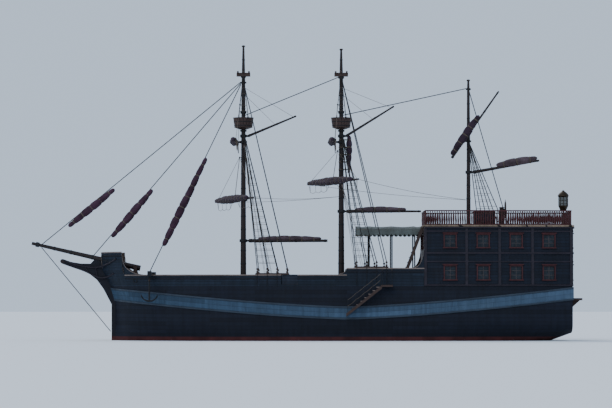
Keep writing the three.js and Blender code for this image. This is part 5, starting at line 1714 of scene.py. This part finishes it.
def windlass(form):
    """A ribbed drum between two cheeks, with a turned warping head outside each."""
    x, z, drum, cheek = (WINDLASS[k] for k in ("x", "z", "drum", "cheek"))
    outline = [(-0.12, FORE_DECK - 0.01), (0.12, FORE_DECK - 0.01), (0.12, 3.75), (0.06, 3.85),
               (-0.05, 3.88), (-0.12, 3.8)]
    head = [(0.05, 0.0), (0.06, 0.01), (0.075, 0.03), (0.07, 0.06), (0.085, 0.11),
            (0.12, 0.13), (0.13, 0.14)]
    for side in (1, -1):
        form.bar([[(x + dx, side * y, up) for dx, up in outline]
                  for y in (cheek - 0.05, cheek + 0.05)], 1)
        rows = [[(x + r * math.cos(a), side * (cheek + 0.05 + dy), z + r * math.sin(a))
                 for a in turns(16)] for r, dy in head]
        form.grid(rows, 2, close=True)
        form.lid(rows[-1], 2)
    form.tube([(x, -cheek, z), (x, cheek, z)], drum - 0.03, 24, 1)
    for a in turns(10):
        px, pz = x + math.cos(a) * (drum - 0.015), z + math.sin(a) * (drum - 0.015)
        form.tube([(px, -cheek + 0.06, pz), (px, cheek - 0.06, pz)], 0.024, 6, 1)
    for y in (-0.1, 0.1):
        form.tube([(x, y - 0.02, z), (x, y + 0.02, z)], drum, 24, 2)


def fore_deck():
    form = Form()
    form.bar([[(frame_x(f, z), s * (side_y(f, z) - WALL - 0.01), z) for s, z in
               ((1, HULL_TOP + 0.001), (1, FORE_DECK), (-1, FORE_DECK), (-1, HULL_TOP + 0.001))]
              for f in frames_between(FORE_DECK_AFT, 12.9)])
    bitts(form)
    windlass(form)
    form.make("fore_deck_fittings", ["deck_wood", "dark_wood", "iron"], "ship", ["fore_deck"],
              bevel=0.006)


SIDE_LADDER = dict(foot=(-0.62, 1.45), head=(-2.76, 3.35), inner=3.665, outer=4.165,
                   landing=-3.42, steps=9, planks=6)
LADDER_STRING = dict(wide=0.045, deep=0.2)
# The landing's hangers go up to this height of the bulwark, and a stanchion is this high
HANGER_TOP = 4.25
STANCHION = 0.78


def ladder_steps(form):
    """Two strings with treads between them, each on a pair of cleats."""
    p = SIDE_LADDER
    (x0, z0), (x1, z1) = p["foot"], p["head"]
    inner, outer = p["inner"], p["outer"]
    wide, deep = LADDER_STRING["wide"], LADDER_STRING["deep"]
    ends = ((x0, z0), (x1, z1 - deep), (x1, z1), (x0, z0 + deep))
    for start in (inner, outer - wide):
        form.bar([[(x, y, z) for x, z in ends] for y in (start, start + wide)])
    for n in range(1, p["steps"]):
        x, z = (a + (b - a) * n / p["steps"] for a, b in ((x0, x1), (z0, z1)))
        form.box(x - 0.12, x + 0.1, inner + 0.02, outer - 0.02, z + 0.08, z + 0.115, 1)
        for y in (inner + wide, outer - wide):
            form.box(x - 0.1, x + 0.08, y - 0.018, y + 0.018, z + 0.05, z + 0.0795)


def ladder_landing(form):
    """Planks on two bearers, with a rod on each bearer up to a plate on the bulwark."""
    p = SIDE_LADDER
    (x1, top), aft, outer = p["head"], p["landing"], p["outer"]
    wide = (x1 + 0.04 - aft) / p["planks"]
    for n in range(p["planks"]):
        a = aft + wide * n
        form.box(a + 0.004, a + wide - 0.004, breadth_at(a, top) + 0.01, outer, top - 0.03, top, 1)
    for x in (aft + 0.04, x1 - 0.04):
        form.box(x - 0.035, x + 0.035, breadth_at(x, top) + 0.004, outer - 0.02, top - 0.11,
                 top - 0.031)
        high = breadth_at(x, HANGER_TOP) + 0.01
        form.tube([(x, outer - 0.05, top - 0.005), (x, high, HANGER_TOP)], 0.014, 8, 2)
        form.box(x - 0.05, x + 0.05, high - 0.008, high + 0.012, HANGER_TOP - 0.1,
                 HANGER_TOP + 0.08, 2)
    form.box(aft, x1 + 0.04, outer - 0.03, outer + 0.015, top - 0.1, top + 0.02)


def ladder_ropes(form):
    """Stanchions on the outer string, with two hand ropes that sag between them."""
    p = SIDE_LADDER
    (x0, z0), (x1, z1) = p["foot"], p["head"]
    y = p["outer"] - 0.022
    low = z0 + LADDER_STRING["deep"]
    feet = [(x0 + (x1 - x0) * t, y, low + (z1 - low) * t) for t in spaced(0.04, 0.96, 5)]
    for x, y, z in feet:
        form.tube([(x, y, z - 0.04), (x, y, z + STANCHION)], 0.013, 8, 2)
    for lift in (STANCHION / 2 - 0.01, STANCHION - 0.02):
        path = []
        for a, b in zip(feet, feet[1:]):
            for t in spaced(0, 1, 6)[:-1]:
                x, y, z = mix(a, b, t)
                path.append((x, y, z + lift - 0.035 * math.sin(math.pi * t)))
        x, y, z = feet[-1]
        form.tube([*path, (x, y, z + lift)], 0.011, 6, 3)


def side_ladder():
    """The boarding ladder on the port side, with a landing hung from the bulwark."""
    form = Form()
    ladder_steps(form)
    ladder_landing(form)
    ladder_ropes(form)
    form.make("boarding_ladder", ["dark_wood", "rail_wood", "iron", "rope"], "ship",
              ["bulwark_port"], bevel=0.004)


HATCH = dict(x0=1.3, x1=4.1, half=0.9, top=3.451)


def hatch_boards():
    """A grating of crossed battens over the hatch."""
    form = Form()
    x0, x1, half, top = (HATCH[k] for k in ("x0", "x1", "half", "top"))
    for x in spaced(x0 + 0.08, x1 - 0.08, 17):
        form.box(x - 0.03, x + 0.03, -half + 0.05, half - 0.05, top, top + 0.034)
    for y in spaced(-half + 0.08, half - 0.08, 12):
        form.box(x0 + 0.05, x1 - 0.05, y - 0.028, y + 0.028, top, top + 0.029)
    form.make("hatch_grating", ["deck_wood"], "ship")


# Height of the blocks that the running rigging's falls come down from, clear of what swings
FALLS = {"fore": 11.85, "main": 9.45}


def pin_rails():
    """Pin rails inside the bulwarks at the masts, with belaying pins and the taut falls."""
    form = Form()
    pin = [(0.012, -0.2), (0.014, -0.02), (0.018, 0.0), (0.013, 0.03), (0.02, 0.1), (0.022, 0.16),
           (0.012, 0.19), (0.002, 0.2)]
    pulley = [(0.012, -0.1), (0.036, -0.07), (0.04, 0), (0.036, 0.07), (0.012, 0.1)]
    for mast, top in (("fore", WAIST_RAIL), ("main", AFT_RAIL)):
        x, z, hang = MASTS[mast]["x"], top - 0.28, FALLS[mast]
        # The rail runs along the bulwark from a to b
        a, b = x - 2.15, x - 0.6
        for side in (1, -1):
            block = Vector((x - 0.06, side * (mast_radius(MASTS[mast], hang) + 0.05), hang))
            form.turned([(r, hang + up) for r, up in pulley], block.x, block.y, 10, 1)
            form.bar([[(px, side * (breadth_at(px, z) - WALL - inboard), z + up)
                       for inboard, up in ((0.005, -0.03), (0.19, -0.03), (0.19, 0.03),
                                           (0.005, 0.03))] for px in (a, b)])
            for n, px in enumerate(spaced(a + 0.15, b - 0.15, 7)):
                py = side * (breadth_at(px, z) - WALL - 0.12)
                form.turned([(r, z + dz) for r, dz in pin], px, py, 8, 1)
                if n % 2:
                    form.tube([(px, py - side * 0.02, z + 0.06), block], FOOTROPE * 0.8, 5, 2)
    form.make("pin_rails", ["dark_wood", "rail_wood", "rope"], "ship")


ANCHOR = dict(x=11.25, aside=0.65, top=3.9, foot=2.4, arm=0.5, rise=0.36, stock=0.48)


def anchor_place(side):
    return ANCHOR["x"], side * (breadth_at(CATHEAD["x"], WAIST_RAIL) + ANCHOR["aside"])


# Half outline of a palm, along the arm and across it
PALM = ((-0.17, 0.03), (-0.05, 0.105), (0.05, 0.08), (0.1, 0.0))


def anchor_piece(side, name):
    """A hung anchor: shank, curved arms with spade palms, and a banded wooden stock."""
    top, foot, arm, rise, stock = (ANCHOR[k] for k in ("top", "foot", "arm", "rise", "stock"))
    form = Form()
    x, y = anchor_place(side)
    form.tube([(x, y, foot - 0.02), (x, y, foot + 0.1), (x, y, top - 0.3), (x, y, top)],
              [0.06, 0.056, 0.045, 0.042], 8, 0)
    spade = [(s, -w) for s, w in PALM] + [(s, w) for s, w in PALM[-2::-1]]
    for end in (1, -1):
        arc = [(x + end * arm * math.sin(t), y, foot + rise * (1 - math.cos(t)) / 0.85)
               for t in spaced(0, 1.42, 12)]
        form.tube(arc, [0.06 - 0.035 * t for t in spaced(0, 1, 12)], 8, 0)
        tip = Vector(arc[-2])
        along = (tip - Vector(arc[-5])).normalized()
        face = Vector((-end * along.z, 0, end * along.x)) * 0.012
        form.bar([[tip + along * s + Vector((0, w, 0)) + face * lift for s, w in spade]
                  for lift in (1, 3)])
    z = top - 0.26
    form.bar([[(x + dx * r, y + dy, z + dz * r) for dx, dz in ((-1, -1), (1, -1), (1, 1), (-1, 1))]
              for dy, r in ((-stock, 0.03), (-0.12, 0.05), (0.12, 0.05), (stock, 0.03))], 1)
    for dy in (-0.38, -0.2, 0.2, 0.38):
        r = 0.056 - 0.02 * (abs(dy) - 0.12) / 0.36
        form.box(x - r, x + r, y + dy - 0.02, y + dy + 0.02, z - r, z + r)
    form.make(f"anchor_forged_{name}", ["iron", "dark_wood"], "ship", [f"anchor_{name}"],
              bevel=0.004)


HAWSE = (12.15, 3.62)


def anchor_gear(side, name):
    """The anchor's ring at the cathead, and the rim of the hawse pipe."""
    form = Form()
    x, y = anchor_place(side)
    form.tube([(x + 0.09 * math.cos(a), y, 3.78 + 0.09 * math.sin(a)) for a in turns(16, 18)],
              0.02, 6, ends=False)
    rim = [(HAWSE[0] + 0.1 * math.cos(a), HAWSE[1] + 0.1 * math.sin(a)) for a in turns(20, 22)]
    form.tube([(px, side * (bow_breadth(px, pz) + 0.015), pz) for px, pz in rim], 0.025, 6,
              ends=False)
    form.make(f"anchor_ring_{name}", ["iron"], "ship")


RUDDER_IRONS = dict(x=-12.15, reach=0.78, half=0.069, heights=(-0.82, -1.35, -1.9))


def rudder_irons():
    """Straps across both faces of the rudder's blade, with their bolts."""
    p = RUDDER_IRONS
    form = Form()
    for z in p["heights"]:
        form.box(p["x"] - p["reach"], p["x"] + 0.062, -p["half"], p["half"], z - 0.05, z + 0.05)
        for n in range(5):
            x = p["x"] - 0.08 - n * 0.145
            form.tube([(x, -p["half"] - 0.012, z), (x, p["half"] + 0.012, z)], 0.016, 8)
    form.make("rudder_irons", ["iron"], "rudder_body", bevel=0.004)


HELM = dict(x=-10.42, z=8.0, r=0.48, axle=0.0398, rim=0.034, hub=0.088, spokes=8, sides=64)
# Distance from the middle and radius along one turned spoke, to the end of its grip
SPOKE = ((0.07, 0.017), (0.1, 0.02), (0.15, 0.019), (0.17, 0.0125), (0.19, 0.0185), (0.3, 0.0135),
         (0.4, 0.0185), (0.42, 0.013), (0.44, 0.0175), (0.52, 0.0175), (0.535, 0.0125),
         (0.565, 0.0195), (0.6, 0.0165), (0.622, 0.011), (0.628, 0.005))


def helm_piece():
    """A wheel of turned spokes let into a moulded rim with a bronze ring, on its axle."""
    form = Form()
    x, z, middle, rim, hub = (HELM[k] for k in ("x", "z", "r", "rim", "hub"))
    low, high = middle - rim, middle + rim

    def ring(section, kind):
        form.grid([[(x + dx, r * math.sin(a), z + r * math.cos(a)) for r, dx in section]
                   for a in turns(HELM["sides"], HELM["sides"] + 1)], kind, close=True)
    ring([(low, -0.016), (low + 0.014, -rim), (high - 0.014, -rim), (high, -0.016),
          (high, 0.016), (high - 0.014, rim), (low + 0.014, rim), (low, 0.016)], 0)
    for way in (-1, 1):
        ring([(middle - 0.01, way * (rim - 0.002)), (middle + 0.01, way * (rim - 0.002)),
              (middle + 0.009, way * (rim + 0.0015)), (middle - 0.009, way * (rim + 0.0015))], 1)
    ring([(0.02, -0.045), (hub - 0.012, -0.045), (hub, -0.03), (hub, 0.03), (hub - 0.012, 0.045),
          (0.02, 0.045)], 0)
    ring([(0.004, -0.058), (0.03, -0.056), (0.048, -0.05), (0.052, -0.044), (0.004, -0.044)], 1)
    form.tube([(x, 0, z), (x + 0.29, 0, z)], HELM["axle"], 24, 2)
    for a in turns(HELM["spokes"]):
        way = Vector((0, math.sin(a), math.cos(a)))
        form.tube([Vector((x, 0, z)) + way * r for r, _ in SPOKE], [w for _, w in SPOKE], 12, 0)
    form.make("helm_turned_wheel", ["spar_wood", "bronze", "iron"], "helm_wheel_body",
              ["helm_wheel"], crease=35)


# Levels of the helm's stand: foot, top, fore and aft reach from its middle, half breadth
HELM_STAND = ((7.0005, 7.1, 0.19, 0.24), (7.1, 7.125, 0.175, 0.225), (7.125, 7.19, 0.15, 0.185),
              (7.19, 8.07, 0.118, 0.148), (8.07, 8.1, 0.135, 0.165), (8.1, 8.14, 0.15, 0.18),
              (8.14, 8.16, 0.138, 0.168))


def helm_stand():
    """A panelled stand with a stepped foot and a moulded cap."""
    form = Form()
    x = HELM["x"] + 0.23
    for low, high, reach, half in HELM_STAND:
        form.box(x - reach, x + reach, -half, half, low, high, 0)
    low, high, reach, half = HELM_STAND[3]
    for side in (-1, 1):
        for way in (-1, 1):
            px, py = x + way * (reach - 0.02), side * (half - 0.02)
            form.box(px - 0.028, px + 0.028, py - 0.028, py + 0.028, low, high, 1)
        for z in (low + 0.03, (low + high) / 2, high - 0.03):
            py = side * (half - 0.02)
            form.box(x - reach + 0.03, x + reach - 0.03, py - 0.026, py + 0.026, z - 0.03,
                     z + 0.03, 1)
            px = x + side * (reach - 0.02)
            form.box(px - 0.026, px + 0.026, -half + 0.03, half - 0.03, z - 0.03, z + 0.03, 1)
    form.tube([(x - reach - 0.022, 0, HELM["z"]), (x - reach, 0, HELM["z"])], 0.065, 24, 2)
    form.make("helm_panelled_stand", ["dark_wood", "spar_wood", "bronze"], "ship",
              ["helm_stand"], bevel=0.005)


PROPELLER = dict(x=-11.42, z=-1.45, r=0.5, blades=4)


def blade_row(t, turn, way):
    """One row across a blade's face, at a share of the way from the hub to the tip."""
    x, z, radius = (PROPELLER[k] for k in ("x", "z", "r"))
    r = 0.08 + (radius - 0.085) * t
    chord = 0.3 * math.sin(math.pi * (0.16 + 0.76 * t)) ** 0.8
    pitch = math.radians(62 - 34 * t)
    row = []
    for j in spaced(-1, 1, 9):
        u = j / 2 * chord
        w = way * (0.028 * (1 - 0.7 * t) * (1 - j ** 2) + 0.003) / 2
        side = u * math.cos(pitch) - w * math.sin(pitch)
        angle = turn - 0.3 * t * t + side / r
        row.append((x + 0.02 - u * math.sin(pitch) - w * math.cos(pitch),
                    r * math.sin(angle), z + r * math.cos(angle)))
    return row


def propeller_piece():
    """Four raked blades on a hub, each a swept, twisted leaf."""
    form = Form()
    x, z = PROPELLER["x"], PROPELLER["z"]
    profile = [(0.02, -0.17), (0.05, -0.165), (0.068, -0.14), (0.085, 0.0), (0.105, 0.3),
               (0.108, 0.365)]
    form.bar([[(x + dx, r * math.cos(a), z + r * math.sin(a)) for a in turns(24)]
              for r, dx in profile], smooth=True)
    for turn in turns(PROPELLER["blades"]):
        low, high = ([blade_row(t, turn, way) for t in spaced(0, 1, 13)] for way in (-1, 1))
        form.grid(low, 0)
        form.grid(high, 0, flip=True)
        for n in (0, -1):
            form.grid([[row[n] for row in low], [row[n] for row in high]], 0)
        form.grid([low[-1], high[-1]], 0)
    form.make("propeller_blades", ["bronze"], "propeller_body", ["propeller"], crease=50)


# What keeps its CAD shape gets its surface here, and softer edges

CAD_FINISH = {
    "keel": ("trim_black", 0.02), "main_deck": ("deck_wood", 0),
    "gate_port": ("gate_paint", 0.008), "gate_starboard": ("gate_paint", 0.008),
    "quarter_wall_port": ("castle_paint", 0), "quarter_wall_starboard": ("castle_paint", 0),
    "door_port": ("red_wood", 0.006), "door_starboard": ("red_wood", 0.006),
    "transom": ("transom_paint", 0), "front_bulkhead": ("bulkhead_wood", 0),
    "mid_deck": ("deck_wood", 0), "top_deck": ("deck_wood", 0.01),
    "poop_rail": ("red_wood", 0.01), "deck_house": ("house_wood", 0.01),
    "stern_platform": ("dark_wood", 0.012), "hatch": ("dark_wood", 0.012),
    "ladder": ("dark_wood", 0.006),
    "awning_frame": ("iron", 0.006), "rudder": ("trim_black", 0.015),
}


def finish_cad():
    for name, (material, bevel) in CAD_FINISH.items():
        piece = frame["nodes"][name]
        piece.data.materials.clear()
        piece.data.materials.append(MATERIALS[material])
        weld = piece.modifiers.new("weld", "WELD")
        weld.merge_threshold = 1e-5
        if bevel:
            soften(piece, bevel, 40)


MATERIALS = build_materials()
camera()
stage()
hull_skin()
pale_band()
for side, name in ((1, "port"), (-1, "starboard")):
    bulwark(side, name)
    quarter_windows(side, name)
    anchor_piece(side, name)
    anchor_gear(side, name)
stern_windows()
bulkhead_windows()
castle_mouldings()
for name in MASTS:
    mast_piece(name)
standing_rigging("fore", list(FORE_STAYS.values()))
for name, ahead in (("main", MASTS["fore"]), ("mizzen", MASTS["main"])):
    standing_rigging(name, [(ahead["x"] - mast_radius(ahead, STAY_END), 0, STAY_END)])
for name in ("fore", "main"):
    topmast_shrouds(name)
for name in YARDS:
    yard_pieces(name)
for name in BOOMS:
    boom_pieces(name)
brailed_sail()
lateen_pieces()
jib_pieces()
braces()
bowsprit_piece()
beakhead()
awning_piece()
poop_balusters()
lantern_piece()
deck_house_trim()
fore_deck()
hatch_boards()
side_ladder()
pin_rails()
rudder_irons()
helm_piece()
helm_stand()
propeller_piece()
finish_cad()
